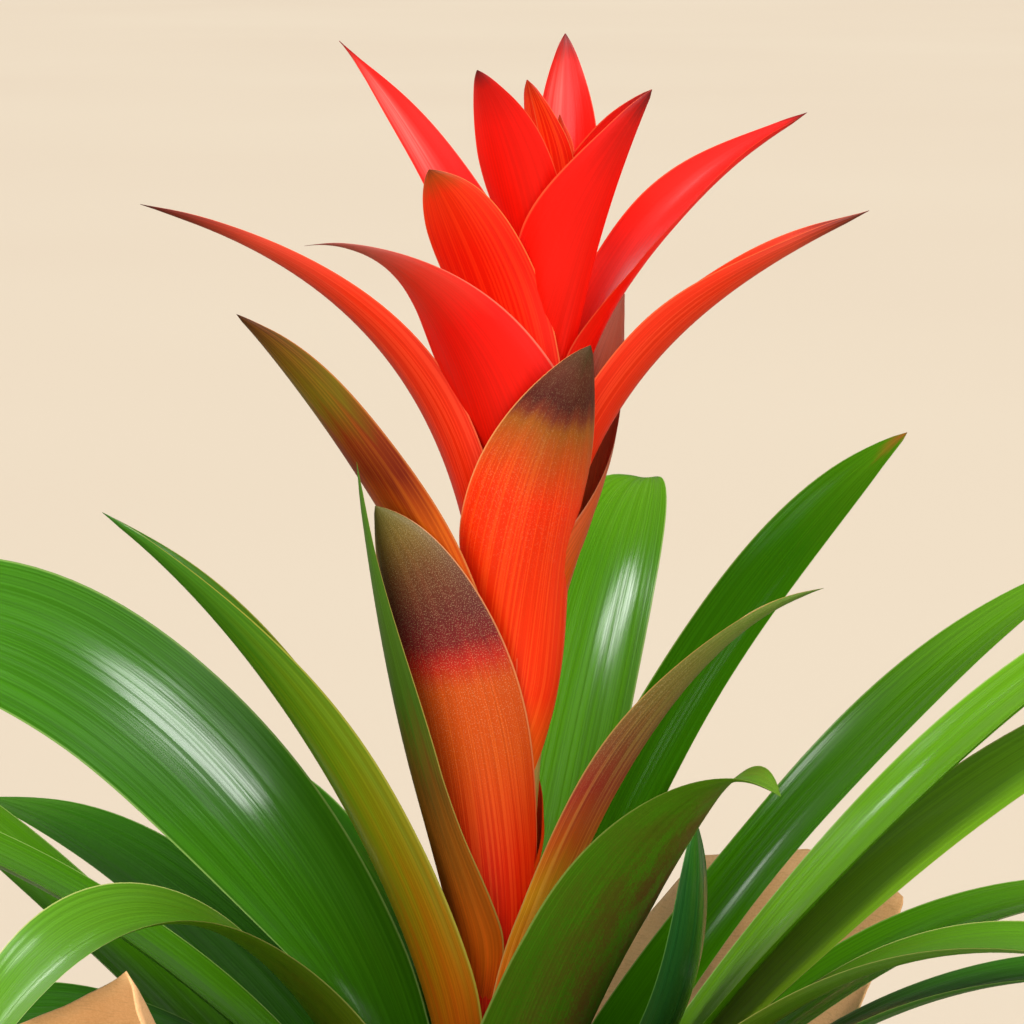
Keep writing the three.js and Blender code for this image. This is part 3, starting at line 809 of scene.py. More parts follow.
LEAVES = (
    Leaf(ring=0, azimuth=25, rise=64, shoulder=(68, 294), tip=(125, 332), width=33, fold=25, roll=4,
         finish=Finish.DEEP),
    Leaf(ring=0, azimuth=165, rise=44, shoulder=(100, 337), tip=(205, 268), width=40, fold=15, wrap=42,
         roll=-60, finish=Finish.GLOSSY),
    Leaf(ring=1, azimuth=70, rise=62, shoulder=(105, 322), tip=(140, 306), width=41, fold=20, wrap=46,
         outline=Outline.BROAD, finish=Finish.GREEN),
    Leaf(ring=1, azimuth=308, rise=43, shoulder=(80, 288), tip=(114, 270), width=43, fold=25,
         outline=Outline.LANCE, finish=Finish.SCURFY),
    # This leaf's colour is painted shade.
    Leaf(ring=2, azimuth=334, rise=22, shoulder=(70, 178), tip=(60, 248), width=36, fold=20,
         finish=Finish.SHADED_DARK_GREEN),
    Leaf(ring=2, azimuth=132, rise=45, shoulder=(75, 250), tip=(130, 232), width=34, fold=22,
         finish=Finish.DARK),
    Leaf(ring=3, azimuth=216, rise=30, shoulder=(92, 304), tip=(155, 188), width=36, fold=25, roll=-3,
         finish=Finish.MOSSY),
    Leaf(ring=3, azimuth=81, rise=30, shoulder=(90, 276), tip=(180, 240), width=36, fold=20,
         finish=Finish.GREEN),
    Leaf(ring=4, azimuth=29, rise=24, shoulder=(116, 268), tip=(205, 292), width=32, fold=25, wrap=43,
         roll=-4, finish=Finish.SHINING),
    Leaf(ring=4, azimuth=184, rise=20, shoulder=(90, 243), tip=(185, 252), width=34, fold=22,
         finish=Finish.GREEN),
    Leaf(ring=5, azimuth=346, rise=6, shoulder=(104, 282), tip=(200, 322), width=36, fold=25, wrap=44,
         roll=12, finish=Finish.BRIGHT),
    Leaf(ring=5, azimuth=139, rise=22, shoulder=(98, 218), tip=(190, 214), width=36, fold=20,
         finish=Finish.DARK),
    Leaf(ring=6, azimuth=345, rise=10, shoulder=(106, 268), tip=(200, 294), width=38, fold=22, roll=18,
         finish=Finish.OLIVE),
    Leaf(ring=6, azimuth=197, rise=12, shoulder=(94, 258), tip=(180, 168), width=36, fold=20,
         finish=Finish.DARK),
    Leaf(ring=7, azimuth=325, rise=11, shoulder=(99, 262), tip=(200, 230), width=38, fold=22,
         finish=Finish.MOSSY),
    Leaf(ring=7, azimuth=112, rise=20, shoulder=(100, 230), tip=(180, 190), width=36, fold=20, wrap=46,
         finish=Finish.GREEN),
    Leaf(ring=8, azimuth=7, rise=18, shoulder=(105, 236), tip=(190, 212), width=34, fold=20, wrap=46,
         finish=Finish.GREEN),
    Leaf(ring=8, azimuth=168, rise=8, shoulder=(92, 206), tip=(185, 268), width=34, fold=25,
         finish=Finish.GREEN),
    Leaf(ring=9, azimuth=334, rise=10, shoulder=(100, 236), tip=(190, 222), width=34, fold=20,
         finish=Finish.DARK),
    Leaf(ring=9, azimuth=80, rise=20, shoulder=(105, 225), tip=(182, 170), width=34, fold=20,
         finish=Finish.DARK),
    Leaf(ring=10, azimuth=258, rise=16, shoulder=(95, 225), tip=(165, 160), width=36, fold=22,
         finish=Finish.GREEN),
    Leaf(ring=11, azimuth=290, rise=10, shoulder=(95, 212), tip=(165, 150), width=34, fold=22,
         finish=Finish.GREEN),
    Leaf(ring=11, azimuth=166, rise=14, shoulder=(105, 213), tip=(180, 156), width=34, fold=20,
         finish=Finish.GREEN),
)


class BladeTree:
    """Geometry Nodes that grow one closed blade from its sizes, in millimetres and degrees."""

    SIZES = (
        "Root Reach", "Root Height", "Rise", "Shoulder Reach", "Shoulder Height", "Tip Reach", "Tip Height",
        "Azimuth", "Width", "Fold", "Crease", "Wrap", "Roll", "Sway", "Hold", "Power", "Sharp", "Length",
        "Ripple", "Seed", "Lean", "Foot",
    )
    THICKNESS = 0.7
    HALF_TIP = 0.15
    TIP_THINS = 0.35
    WIDENED = 0.3
    ROLL_FROM = 0.15
    ROLLED = 0.6
    STEPS = 64
    SIDES = 7
    SEED_APART = 17.3
    WAVES = 14.0

    def __init__(self) -> None:
        """Builds the tree."""
        inputs = {name: "NodeSocketFloat" for name in self.SIZES} | {"Material": "NodeSocketMaterial"}
        tree, given, leave, self.keys = open_group(
            "blade", "GeometryNodeTree", inputs, {"Geometry": "NodeSocketGeometry"},
        )
        self.tree = tree
        tree.is_modifier = True
        grid = tree.nodes.new("GeometryNodeMeshGrid")
        grid.inputs["Vertices X"].default_value = 4 * self.SIDES + 1
        grid.inputs["Vertices Y"].default_value = self.STEPS + 1
        position = put(tree, "GeometryNodeInputPosition")
        around = self._part(position, 0) + 0.5
        along = self._part(position, 1) + 0.5
        across = 1.0 - (around * 4.0 - 2.0).math("ABSOLUTE")
        place = self._place(given, along, across, (0.5 - around).math("SIGN"))
        shape = Flow(tree, grid.outputs["Mesh"])
        shape = self._store(shape, "UVMap", "FLOAT2", "CORNER", Flow(tree, grid.outputs["UV Map"]))
        shape = self._store(shape, "along", "FLOAT", "POINT", along)
        shape = self._store(shape, "across", "FLOAT", "POINT", across)
        own = given["Seed"] * self.SEED_APART
        grain = put(tree, "ShaderNodeCombineXYZ", {
            0: across * given["Width"] * 0.5, 1: along * given["Length"], 2: own,
        })
        shape = self._store(shape, "grain", "FLOAT_VECTOR", "POINT", grain)
        shape = put(tree, "GeometryNodeSetPosition", {"Geometry": shape, "Position": place})
        shape = put(tree, "GeometryNodeMergeByDistance", {"Geometry": shape, "Distance": 2e-6})
        shape = put(tree, "GeometryNodeFlipFaces", {"Mesh": shape})
        shape = put(tree, "GeometryNodeRealizeInstances", {"Geometry": shape})
        shape = put(tree, "GeometryNodeSetMaterial", {"Geometry": shape, "Material": given["Material"]})
        plug(tree, leave.inputs["Geometry"], shape)

    @staticmethod
    def _store(shape: Flow, name: str, data_type: str, domain: str, value: Flow) -> Flow:
        """Keeps a value on the mesh.

        Args:
            shape: the geometry.
            name: the attribute's name.
            data_type: its type.
            domain: where it is kept.
            value: the value.

        Returns:
            The geometry with the attribute.
        """
        inputs = {"Geometry": shape, "Name": name, "Value": value}
        return put(
            shape.tree, "GeometryNodeStoreNamedAttribute", inputs, data_type=data_type, domain=domain,
        )

    def _place(self, given: dict[str, Flow], t: Flow, across: Flow, face: Flow) -> Flow:
        """Where a point of the blade lies.

        Args:
            given: the tree's inputs.
            t: the place along the spine, from 0 to 1.
            across: the place across the blade, from -1 to 1.
            face: 1 on the face towards the stem and -1 on the other.

        Returns:
            The place in metres.
        """
        tree = self.tree
        turn = math.radians(1.0)
        reach, centre, ahead = self._spine(given, t)
        side = put(tree, "ShaderNodeCombineXYZ", {1: 1.0})
        side = side.vector("SUBTRACT", ahead.vector("SCALE", self._part(ahead, 1))).vector("NORMALIZE")
        inward = ahead.vector("CROSS_PRODUCT", side)
        twist = given["Roll"] * turn * t.eased(self.ROLL_FROM, self.ROLLED)
        cosine, sine = twist.math("COSINE"), twist.math("SINE")
        turned_side = side.vector("SCALE", cosine).vector("ADD", inward.vector("SCALE", sine))
        turned_inward = inward.vector("SCALE", cosine).vector("SUBTRACT", side.vector("SCALE", sine))
        widened = t.eased(0.0, self.WIDENED)
        at_root = given["Root Reach"] * given["Wrap"] * turn
        full = at_root + (given["Width"] * 0.5 - at_root) * widened
        cup = (given["Fold"] * turn).math("MAXIMUM", full / reach)
        bend = given["Crease"] * turn * widened
        taper = ((t - given["Hold"]) / (1.0 - given["Hold"])).math("MAXIMUM", 0.0)
        share = (1.0 - taper ** given["Power"]).math("MAXIMUM", 0.0) ** given["Sharp"]
        half = (full * share).math("MAXIMUM", self.HALF_TIP)
        out = across.math("ABSOLUTE")
        sign = across.math("SIGN")
        angle = bend + cup * out
        x = sign * half * (angle.math("SINE") - bend.math("SINE")) / cup
        y = half * (bend.math("COSINE") - angle.math("COSINE")) / cup
        wave = (t * self.WAVES + given["Seed"] * 5.0 + sign * 1.3).math("SINE")
        y = y + given["Ripple"] * wave * out * out * t.eased(0.25, 0.6) * (1.0 - t.eased(0.9, 1.0))
        ends = t.math("COMPARE", 0.0, 1e-4) + t.math("COMPARE", 1.0, 1e-4)
        thick = (half * self.TIP_THINS).math("MINIMUM", self.THICKNESS) * (1.0 - ends) * 0.5
        thick = thick * (1.0 - out ** 4.0).math("MAXIMUM", 0.0).math("SQRT") * face
        x = x - sign * angle.math("SINE") * thick
        y = y + angle.math("COSINE") * thick
        place = centre.vector("ADD", turned_side.vector("SCALE", x))
        place = place.vector("ADD", turned_inward.vector("SCALE", y))
        place = self._turned(place, given["Azimuth"] * turn, (0.0, 0.0, 1.0))
        place = self._turned(place, given["Lean"] * turn, (0.0, 1.0, 0.0))
        lifted = put(tree, "ShaderNodeCombineXYZ", {2: given["Foot"]})
        return place.vector("ADD", lifted).vector("SCALE", MM)

    def _spine(self, given: dict[str, Flow], t: Flow) -> tuple[Flow, Flow, Flow]:
        """The spine's reach, point and direction at t.

        Args:
            given: the tree's inputs.
            t: the place along it.

        Returns:
            The reach, the point and the unit direction.
        """
        u = 1.0 - t
        first, second, third, last = u * u * u, u * u * t * 3.0, u * t * t * 3.0, t * t * t
        start, end = given["Root Reach"], given["Tip Reach"]
        bottom, top = given["Root Height"], given["Tip Height"]
        shoulder, high = given["Shoulder Reach"], given["Shoulder Height"]
        lifted = bottom + given["Rise"]
        reach = (first + second) * start + third * shoulder + last * end
        height = first * bottom + second * lifted + third * high + last * top
        early, middle, late = u * u * 3.0, u * t * 6.0, t * t * 3.0
        outwards = middle * (shoulder - start) + late * (end - shoulder)
        upwards = early * given["Rise"] + middle * (high - lifted) + late * (top - high)
        sway = given["Sway"]
        centre = put(self.tree, "ShaderNodeCombineXYZ", {0: reach, 1: sway * t * t, 2: height})
        ahead = put(self.tree, "ShaderNodeCombineXYZ", {0: outwards, 1: sway * t * 2.0, 2: upwards})
        return reach, centre, ahead.vector("NORMALIZE")

    def _part(self, value: Flow, index: int) -> Flow:
        """One part of a vector."""
        return put(self.tree, "ShaderNodeSeparateXYZ", {0: value}, out=index)

    def _turned(self, value: Flow, angle: Flow, axis: tuple[float, float, float]) -> Flow:
        """A vector turned about an axis through the origin."""
        return put(self.tree, "ShaderNodeVectorRotate", {"Vector": value, "Axis": axis, "Angle": angle})

    def grow(self, name: str, blade: Blade, root: Point, seed: float, material: bpy.types.Material,
             lean: float = 0.0, foot: float = 0.0) -> bpy.types.Object:
        """Makes one blade.

        Args:
            name: the piece's name.
            blade: its sizes.
            root: the root's reach and height.
            seed: a number of its own for its waves and grain.
            material: its finish.
            lean: how far its stalk leans towards +X, in degrees.
            foot: the height that the stalk leans from.

        Returns:
            The piece, as a plain mesh.
        """
        hold, power, sharp = blade.outline.value
        sizes = (
            *root, blade.rise, *blade.shoulder, *blade.tip, blade.azimuth, blade.width, blade.fold,
            blade.crease, blade.wrap, blade.roll, blade.sway, hold, power, sharp, blade.length(root),
            blade.ripple, seed, lean, foot,
        )
        inputs = dict(zip(self.SIZES, sizes)) | {"Material": material}
        return evaluated(name, bpy.data.meshes.new(name), self.tree, self.keys, inputs)


def evaluated(name: str, mesh: bpy.types.Mesh, tree: bpy.types.NodeTree, keys: dict[str, str],
              inputs: dict[str, object]) -> bpy.types.Object:
    """Runs a Geometry Nodes tree on a mesh and keeps the result as a plain mesh.

    Args:
        name: the piece's name.
        mesh: the mesh that the tree starts from.
        tree: the tree.
        keys: the sockets' identifiers by name.
        inputs: values by the input's name.

    Returns:
        The piece.
    """
    piece = bpy.data.objects.new(name, mesh)
    modifier = piece.modifiers.new("shape", "NODES")
    modifier.node_group = tree
    for label, value in inputs.items():
        modifier[keys[label]] = value
    bpy.context.scene.collection.objects.link(piece)
    graph = bpy.context.evaluated_depsgraph_get()
    graph.update()
    made = bpy.data.meshes.new_from_object(
        piece.evaluated_get(graph), preserve_all_data_layers=True, depsgraph=graph,
    )
    piece.modifiers.remove(modifier)
    piece.data = made
    made.name = name
    smoothed(piece)
    return piece


def smoothed(piece: bpy.types.Object, angle: float = 50.0) -> None:
    """Shades a piece smooth, except across edges sharper than the angle in degrees."""
    piece.data.shade_smooth()
    piece.data.set_sharp_from_angle(angle=math.radians(angle))


def mesh_piece(name: str, points: np.ndarray, faces: Sequence[Sequence[int]],
               material: bpy.types.Material | None = None) -> bpy.types.Object:
    """A piece from points in millimetres.

    Args:
        name: the piece's name.
        points: one row for each point.
        faces: the points of each face.
        material: its finish.

    Returns:
        The piece.
    """
    mesh = bpy.data.meshes.new(name)
    mesh.from_pydata((np.asarray(points, float) * MM).tolist(), [], [list(f) for f in faces])
    mesh.update()
    piece = bpy.data.objects.new(name, mesh)
    bpy.context.scene.collection.objects.link(piece)
    if material:
        mesh.materials.append(material)
    return piece


def turned(profile: Sequence[Point], round_: int) -> tuple[np.ndarray, list[tuple[int, ...]]]:
    """A turned body from a half profile that starts and ends on the axis.

    Args:
        profile: radius and height of each place, in millimetres.
        round_: how many segments it has.

    Returns:
        Its points and faces.
    """
    inner = profile[1:-1]
    turns = np.arange(round_) * 2 * math.pi / round_
    rows = [np.stack([r * np.cos(turns), r * np.sin(turns), np.full(round_, z)], 1) for r, z in inner]
    points = np.concatenate([*rows, [[0, 0, profile[0][1]], [0, 0, profile[-1][1]]]])
    first, last = len(points) - 2, len(points) - 1
    faces: list[tuple[int, ...]] = []
    for j in range(round_):
        k = (j + 1) % round_
        faces.extend(
            (i * round_ + j, i * round_ + k, (i + 1) * round_ + k, (i + 1) * round_ + j)
            for i in range(len(inner) - 1)
        )
        faces.append((first, k, j))
        faces.append((last, (len(inner) - 1) * round_ + j, (len(inner) - 1) * round_ + k))
    return points, faces


def settle(piece: bpy.types.Object, slot: str, *nodes: str) -> None:
    """Lets a piece stand for its solids.

    Args:
        piece: the finished piece.
        slot: the record's material slot.
        nodes: the solids that it stands for.
    """
    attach(piece, "root")
    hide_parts(*nodes)
    LOG.info("%s: %d faces, %s", piece.name, len(piece.data.polygons), slot)


@dataclass(frozen=True)
class Stem:
    """The short cone that the leaves stand on, and the stalk that leans out of it."""

    foot_radius: float = 29
    top_radius: float = 11.4
    bottom: float = 97
    top: float = 138
    plug_radius: float = 11.7
    plug_bottom: float = 66.3
    stalk_foot: float = 150
    stalk_foot_radius: float = 9
    stalk_tip_radius: float = 3.2
    stalk_length: float = 252
    lean: float = 5.2
    ring_first: float = 12.8
    ring_step: float = 1.2
    leaf_lift: float = 0.8
    leaf_flat: float = math.cos(math.radians(12.5))
    leaf_half_thickness: float = 0.4
    bract_sink: float = 0.3
    stalk_sink: float = 2
    stalk_knee: float = 120
    cap: float = 3
    round: int = 64

    def stalk_radius(self, height: float) -> float:
        """The stalk's radius at a height over its foot."""
        share = height / self.stalk_length
        return self.stalk_foot_radius + (self.stalk_tip_radius - self.stalk_foot_radius) * share

    def bract_root(self, bract: Bract) -> Point:
        """Where a bract starts, as reach and height along the stalk."""
        return self.stalk_radius(bract.root) - self.bract_sink, bract.root

    def leaf_root(self, leaf: Leaf) -> Point:
        """Where a leaf starts on the cone, as reach and height over the table.

        Args:
            leaf: the leaf.

        Returns:
            Its root.
        """
        radius = self.ring_first + self.ring_step * leaf.ring
        inner = radius * self.leaf_flat - self.leaf_half_thickness
        share = (self.foot_radius - inner) / (self.foot_radius - self.top_radius)
        return radius, self.bottom + (self.top - self.bottom) * share + self.leaf_lift

    def build(self, material: bpy.types.Material) -> bpy.types.Object:
        """Makes the stem and stalk as one piece.

        Args:
            material: its finish.

        Returns:
            The piece.
        """
        low, low_faces = turned([
            (0, self.plug_bottom), (self.plug_radius, self.plug_bottom), (self.plug_radius, self.bottom),
            (self.foot_radius, self.bottom), (self.top_radius, self.top),
            (self.stalk_foot_radius, self.stalk_foot), (0, self.stalk_foot + self.cap),
        ], self.round)
        tip = self.stalk_tip_radius
        high, high_faces = turned([
            (0, -self.stalk_sink), (self.stalk_foot_radius, -self.stalk_sink),
            (self.stalk_radius(self.stalk_knee), self.stalk_knee), (tip, self.stalk_length),
            (tip * 0.6, self.stalk_length + tip * 0.8), (0, self.stalk_length + tip),
        ], self.round)
        leaning = Matrix.Rotation(math.radians(self.lean), 3, "Y")
        high = high @ np.array(leaning).T + (0, 0, self.stalk_foot)
        faces = low_faces + [tuple(i + len(low) for i in face) for face in high_faces]
        piece = mesh_piece("stem", np.concatenate([low, high]), faces, material)
        smoothed(piece, 30)
        return piece


@dataclass(frozen=True)
class Pot:
    """A tapered nursery tub with a straight rim band and drainage holes."""

    floor: float = 1.3
    base: float = 44
    top: float = 58
    height: float = 105
    wall: float = 1.6
    rim: float = 14
    rim_step: float = 2
    round_edge: float = 0.7
    hole_ring: float = 28
    hole_radius: float = 4
    holes: int = 6
    hole_round: int = 24
    punch: float = 20
    round: int = 96

    def _profile(self) -> list[Point]:
        """The half profile, with its edges rounded a little.

        Returns:
            Radius and height of each place.
        """
        lip = self.floor + self.height
        shoulder = lip - self.rim
        slope = (self.top - self.base) / self.height
        at_shoulder = self.base + slope * (self.height - self.rim)
        out, cut = self.top + self.rim_step, self.round_edge
        foot = self.floor + self.wall
        return [
            (0, self.floor), (self.base - cut, self.floor), (self.base, self.floor + cut),
            (at_shoulder - 0.05, shoulder - 0.3), (at_shoulder + 0.4, shoulder),
            (out - 0.3, shoulder + 1.6), (out, shoulder + 2.4),
            (out, lip - cut), (out - cut * 0.3, lip - cut * 0.3), (out - cut, lip),
            (self.top - self.wall + cut, lip), (self.top - self.wall, lip - cut),
            (self.base - self.wall + 1, foot + 1), (self.base - self.wall - 1, foot), (0, foot),
        ]

    def _tree(self) -> tuple[bpy.types.NodeTree, dict[str, str]]:
        """Geometry Nodes that cut a ring of drainage holes.

        Returns:
            The tree and its sockets' identifiers.
        """
        tree, given, leave, keys = open_group(
            "drainage", "GeometryNodeTree",
            {"Geometry": "NodeSocketGeometry", "Holes": "NodeSocketInt", "Ring": "NodeSocketFloat",
             "Radius": "NodeSocketFloat", "Material": "NodeSocketMaterial"},
            {"Geometry": "NodeSocketGeometry"},
        )
        tree.is_modifier = True
        ring = put(tree, "GeometryNodeMeshCircle", {"Vertices": given["Holes"], "Radius": given["Ring"]})
        punch = put(tree, "GeometryNodeMeshCylinder", {
            "Vertices": self.hole_round, "Radius": given["Radius"], "Depth": self.punch * MM,
        })
        punches = put(tree, "GeometryNodeInstanceOnPoints", {"Points": ring, "Instance": punch})
        punches = put(tree, "GeometryNodeRealizeInstances", {"Geometry": punches})
        cut = put(
            tree, "GeometryNodeMeshBoolean", {"Mesh 1": given["Geometry"], "Mesh 2": punches},
            operation="DIFFERENCE",
        )
        cut = put(tree, "GeometryNodeRealizeInstances", {"Geometry": cut})
        cut = put(tree, "GeometryNodeSetMaterial", {"Geometry": cut, "Material": given["Material"]})
        plug(tree, leave.inputs["Geometry"], cut)
        return tree, keys

    def build(self, material: bpy.types.Material) -> bpy.types.Object:
        """Makes the tub.

        Args:
            material: its finish.

        Returns:
            The piece.
        """
        points, faces = turned(self._profile(), self.round)
        blank = mesh_piece("tub_blank", points, faces)
        tree, keys = self._tree()
        inputs = {
            "Holes": self.holes, "Ring": self.hole_ring * MM, "Radius": self.hole_radius * MM,
            "Material": material,
        }
        mesh = blank.data
        bpy.data.objects.remove(blank)
        piece = evaluated("nursery_pot", mesh, tree, keys, inputs)
        smoothed(piece, 35)
        return piece


@dataclass(frozen=True)
class Soil:
    """Peat in the pot, with a crumbled surface round the stem."""

    pot: Pot = Pot()
    clearance: float = 2.2
    floor: float = 3.2
    top: float = 96
    mound: float = 3
    mound_from: float = 0.6
    hole_radius: float = 12
    hole_depth: float = 30
    rough: float = 0.8
    crumbs: float = 90000
    crumb_size: float = 1.5
    crumb_least: tuple[float, float, float] = (0.25, 0.3, 0.2)
    crumb_most: tuple[float, float, float] = (1.0, 0.8, 0.7)
    crumb_lowest: float = 2
    lump: float = 5
    small_lump: float = 2
    seed: int = 11
    rings: int = 26
    round: int = 120

    def _inner(self, height: float) -> float:
        """The soil's radius at a height."""
        pot = self.pot
        return pot.base + (pot.top - pot.base) * (height - pot.floor) / pot.height - self.clearance

    def _tree(self) -> tuple[bpy.types.NodeTree, dict[str, str]]:
        """Geometry Nodes that strew crumbs over the upward faces.

        Returns:
            The tree and its sockets' identifiers.
        """
        tree, given, leave, keys = open_group(
            "crumbs", "GeometryNodeTree",
            {"Geometry": "NodeSocketGeometry", "Density": "NodeSocketFloat", "Size": "NodeSocketFloat",
             "Lowest": "NodeSocketFloat", "Seed": "NodeSocketInt", "Material": "NodeSocketMaterial"},
            {"Geometry": "NodeSocketGeometry"},
        )
        tree.is_modifier = True
        normal = put(tree, "GeometryNodeInputNormal")
        position = put(tree, "GeometryNodeInputPosition")
        upright = put(tree, "ShaderNodeSeparateXYZ", {0: normal}, out=2).math("GREATER_THAN", 0.6)
        height = put(tree, "ShaderNodeSeparateXYZ", {0: position}, out=2)
        high = height.math("GREATER_THAN", given["Lowest"])
        points = put(tree, "GeometryNodeDistributePointsOnFaces", {
            "Mesh": given["Geometry"], "Selection": upright * high, "Density": given["Density"],
            "Seed": given["Seed"],
        })
        crumb = put(tree, "GeometryNodeMeshIcoSphere", {"Radius": 1.0, "Subdivisions": 1})
        turn = put(tree, "FunctionNodeRandomValue", {0: (0.0, 0.0, 0.0), 1: (6.28, 6.28, 6.28), "Seed": 3},
                   data_type="FLOAT_VECTOR")
        size = tree.nodes.new("FunctionNodeRandomValue")
        size.data_type = "FLOAT_VECTOR"
        size.inputs[0].default_value = self.crumb_least
        size.inputs[1].default_value = self.crumb_most
        size.inputs["Seed"].default_value = 5
        scale = Flow(tree, size.outputs[0]).vector("SCALE", given["Size"])
        strewn = put(tree, "GeometryNodeInstanceOnPoints", {
            "Points": points, "Instance": crumb, "Rotation": turn, "Scale": scale,
        })
        hue = put(tree, "FunctionNodeRandomValue", {2: 0.0, 3: 1.0, "Seed": 9}, out=1)
        strewn = put(
            tree, "GeometryNodeStoreNamedAttribute", {"Geometry": strewn, "Name": "crumb", "Value": hue},
            data_type="FLOAT", domain="INSTANCE",
        )
        strewn = put(tree, "GeometryNodeRealizeInstances", {"Geometry": strewn})
        joined = tree.nodes.new("GeometryNodeJoinGeometry")
        tree.links.new(strewn.socket, joined.inputs[0])
        tree.links.new(given["Geometry"].socket, joined.inputs[0])
        whole = put(tree, "GeometryNodeSetMaterial", {
            "Geometry": Flow(tree, joined.outputs[0]), "Material": given["Material"],
        })
        plug(tree, leave.inputs["Geometry"], whole)
        return tree, keys

    def build(self, material: bpy.types.Material) -> bpy.types.Object:
        """Makes the soil with its crumbs.

        Args:
            material: its finish.

        Returns:
            The piece.
        """
        low, edge = self.top - self.mound, self._inner(self.top - self.mound)
        knee = self._inner(self.top) * self.mound_from
        across = np.linspace(edge - 0.4, self.hole_radius, self.rings)
        heights = (self.top, self.top - self.mound / 3, low)
        rises = np.interp(across, (self.hole_radius, knee, edge), heights)
        profile = [
            (0, self.floor), (self._inner(self.floor), self.floor), (edge, low - 0.4),
            *zip(across.tolist(), rises.tolist()), (self.hole_radius, self.top - self.hole_depth),
            (0, self.top - self.hole_depth),
        ]
        points, faces = turned(profile, self.round)
        for point in points:
            reach = math.hypot(point[0], point[1])
            if point[2] > low - 0.1 and self.hole_radius + 0.5 < reach < edge - 0.6:
                near = Vector(point)
                lump = noise.noise(near / self.lump) + 0.5 * noise.noise(near / self.small_lump)
                point[2] += self.rough * lump
        blank = mesh_piece("soil_blank", points, faces)
        mesh = blank.data
        bpy.data.objects.remove(blank)
        tree, keys = self._tree()
        inputs = {
            "Density": self.crumbs, "Size": self.crumb_size * MM,
            "Lowest": (low - self.crumb_lowest) * MM, "Seed": self.seed, "Material": material,
        }
        piece = evaluated("soil_fill", mesh, tree, keys, inputs)
        smoothed(piece, 40)
        return piece


@dataclass(frozen=True)
class PaperWrap:
    """A square of kraft paper with the pot in its middle, gathered up into pleats."""

    foot: float = 47
    full: float = 0.84
    pleats: float = 13
    pleat_at_foot: float = 1.5
    pleat_at_rim: float = 4
    pleat_at_edge: float = 7
    curl: float = 1.25
    drift: float = 3
    rim_height: float = 106.3
    rim_reach: float = 60.8
    middle: float = 0.5
    thickness: float = 0.55
    crumple: float = 0.7
    crease_apart: float = 19
    crease_bend: float = 30
    crease_full: float = 0.6
    crease_steep: float = 3.2
    ruffle: float = 9
    smooth_rows: int = 12
    round: int = 420
    wall_rows: int = 26
    flare_rows: int = 30
    floor_rows: int = 5
    seed: int = 5
    edge: tuple[tuple[float, float, float], ...] = (
        (0, 88, 148), (15, 104, 172), (27, 127, 203), (40, 120, 212), (54, 104, 208), (72, 86, 166),
        (92, 80, 146), (114, 90, 164), (134, 112, 200), (152, 92, 166), (178, 84, 146), (196, 100, 172),
        (209, 123, 206), (225, 113, 226), (233, 112, 204), (246, 96, 172), (266, 82, 146), (288, 84, 148),
        (304, 98, 172), (317, 112, 196), (334, 98, 168),
    )

    def _rows(self) -> list[tuple[np.ndarray, np.ndarray]]:
        """The sheet as rings from its foot to its edge.

        Returns:
            Reach and height of each ring, by azimuth.
        """
        azimuths = np.arange(self.round) * 360 / self.round
        turn = np.radians(azimuths)
        places = np.array(self.edge)
        reach = np.interp(azimuths, places[:, 0], places[:, 1], period=360)
        height = np.interp(azimuths, places[:, 0], places[:, 2], period=360)
        wave = 0.5 + 0.5 * np.sin(turn * self.pleats + np.sin(turn * self.drift))
        rows = []
        for part in np.linspace(0, 1, self.wall_rows):
            pleat = (self.pleat_at_foot + (self.pleat_at_rim - self.pleat_at_foot) * part) * wave
            hug = self.foot + (self.rim_reach - self.foot) * min(1, part / self.full)
            level = np.full(self.round, max(self.middle, part * self.rim_height))
            rows.append((hug + pleat + self.middle, level))
        for part in np.linspace(0, 1, self.flare_rows + 1)[1:]:
            pleat = (self.pleat_at_rim + (self.pleat_at_edge - self.pleat_at_rim) * part) * wave
            flare = self.rim_reach + (reach - self.pleat_at_edge / 2 - self.rim_reach) * part ** self.curl
            rows.append((flare + pleat + self.middle, self.rim_height + (height - self.rim_height) * part))
        return rows

    def _crumpled(self, place: np.ndarray) -> float:
        """How far the paper stands off its plain shape.

        Args:
            place: a place on it in millimetres.

        Returns:
            The distance in millimetres.
        """
        near = Vector(place)
        bent = near / self.crease_apart + noise.noise_vector(near / self.crease_bend) * 0.5
        gaps, _ = noise.voronoi(bent)
        fold = min(self.crease_full, gaps[1] - gaps[0])
        return self.crumple * (fold * self.crease_steep - 1 + 0.5 * noise.noise(near / self.ruffle))

    def build(self, material: bpy.types.Material) -> bpy.types.Object:
        """Makes the sheet.

        Args:
            material: its finish.

        Returns:
            The piece.
        """
        turn = np.arange(self.round) * 2 * math.pi / self.round
        rings = [
            (self.foot * share + np.zeros(self.round), np.full(self.round, self.middle))
            for share in np.linspace(1 / self.floor_rows, 1, self.floor_rows)[:-1]
        ] + self._rows()
        points = [np.stack([r * np.cos(turn), r * np.sin(turn), z], 1) for r, z in rings]
        noise.seed_set(self.seed)
        flat = self.floor_rows - 1
        for index, row in enumerate(points[flat + 2:], start=2):
            ease = min(1, index / self.smooth_rows)
            for point in row:
                shift = self._crumpled(point) * ease
                reach = math.hypot(point[0], point[1])
                point[:2] *= (reach + shift) / reach
        centre = [[0.0, 0.0, self.middle]]
        count = self.round
        faces = [(len(points) * count, j, (j + 1) % count) for j in range(count)]
        for start in range(0, (len(points) - 1) * count, count):
            after = start + count
            for j in range(count):
                k = (j + 1) % count
                faces.append((start + j, after + j, after + k, start + k))
        piece = mesh_piece("kraft_wrap", np.concatenate([*points, centre]), faces, material)
        wall = piece.modifiers.new("thickness", "SOLIDIFY")
        wall.thickness = self.thickness * MM
        wall.offset = 0
        wall.use_rim = True
        smoothed(piece, 60)
        return piece


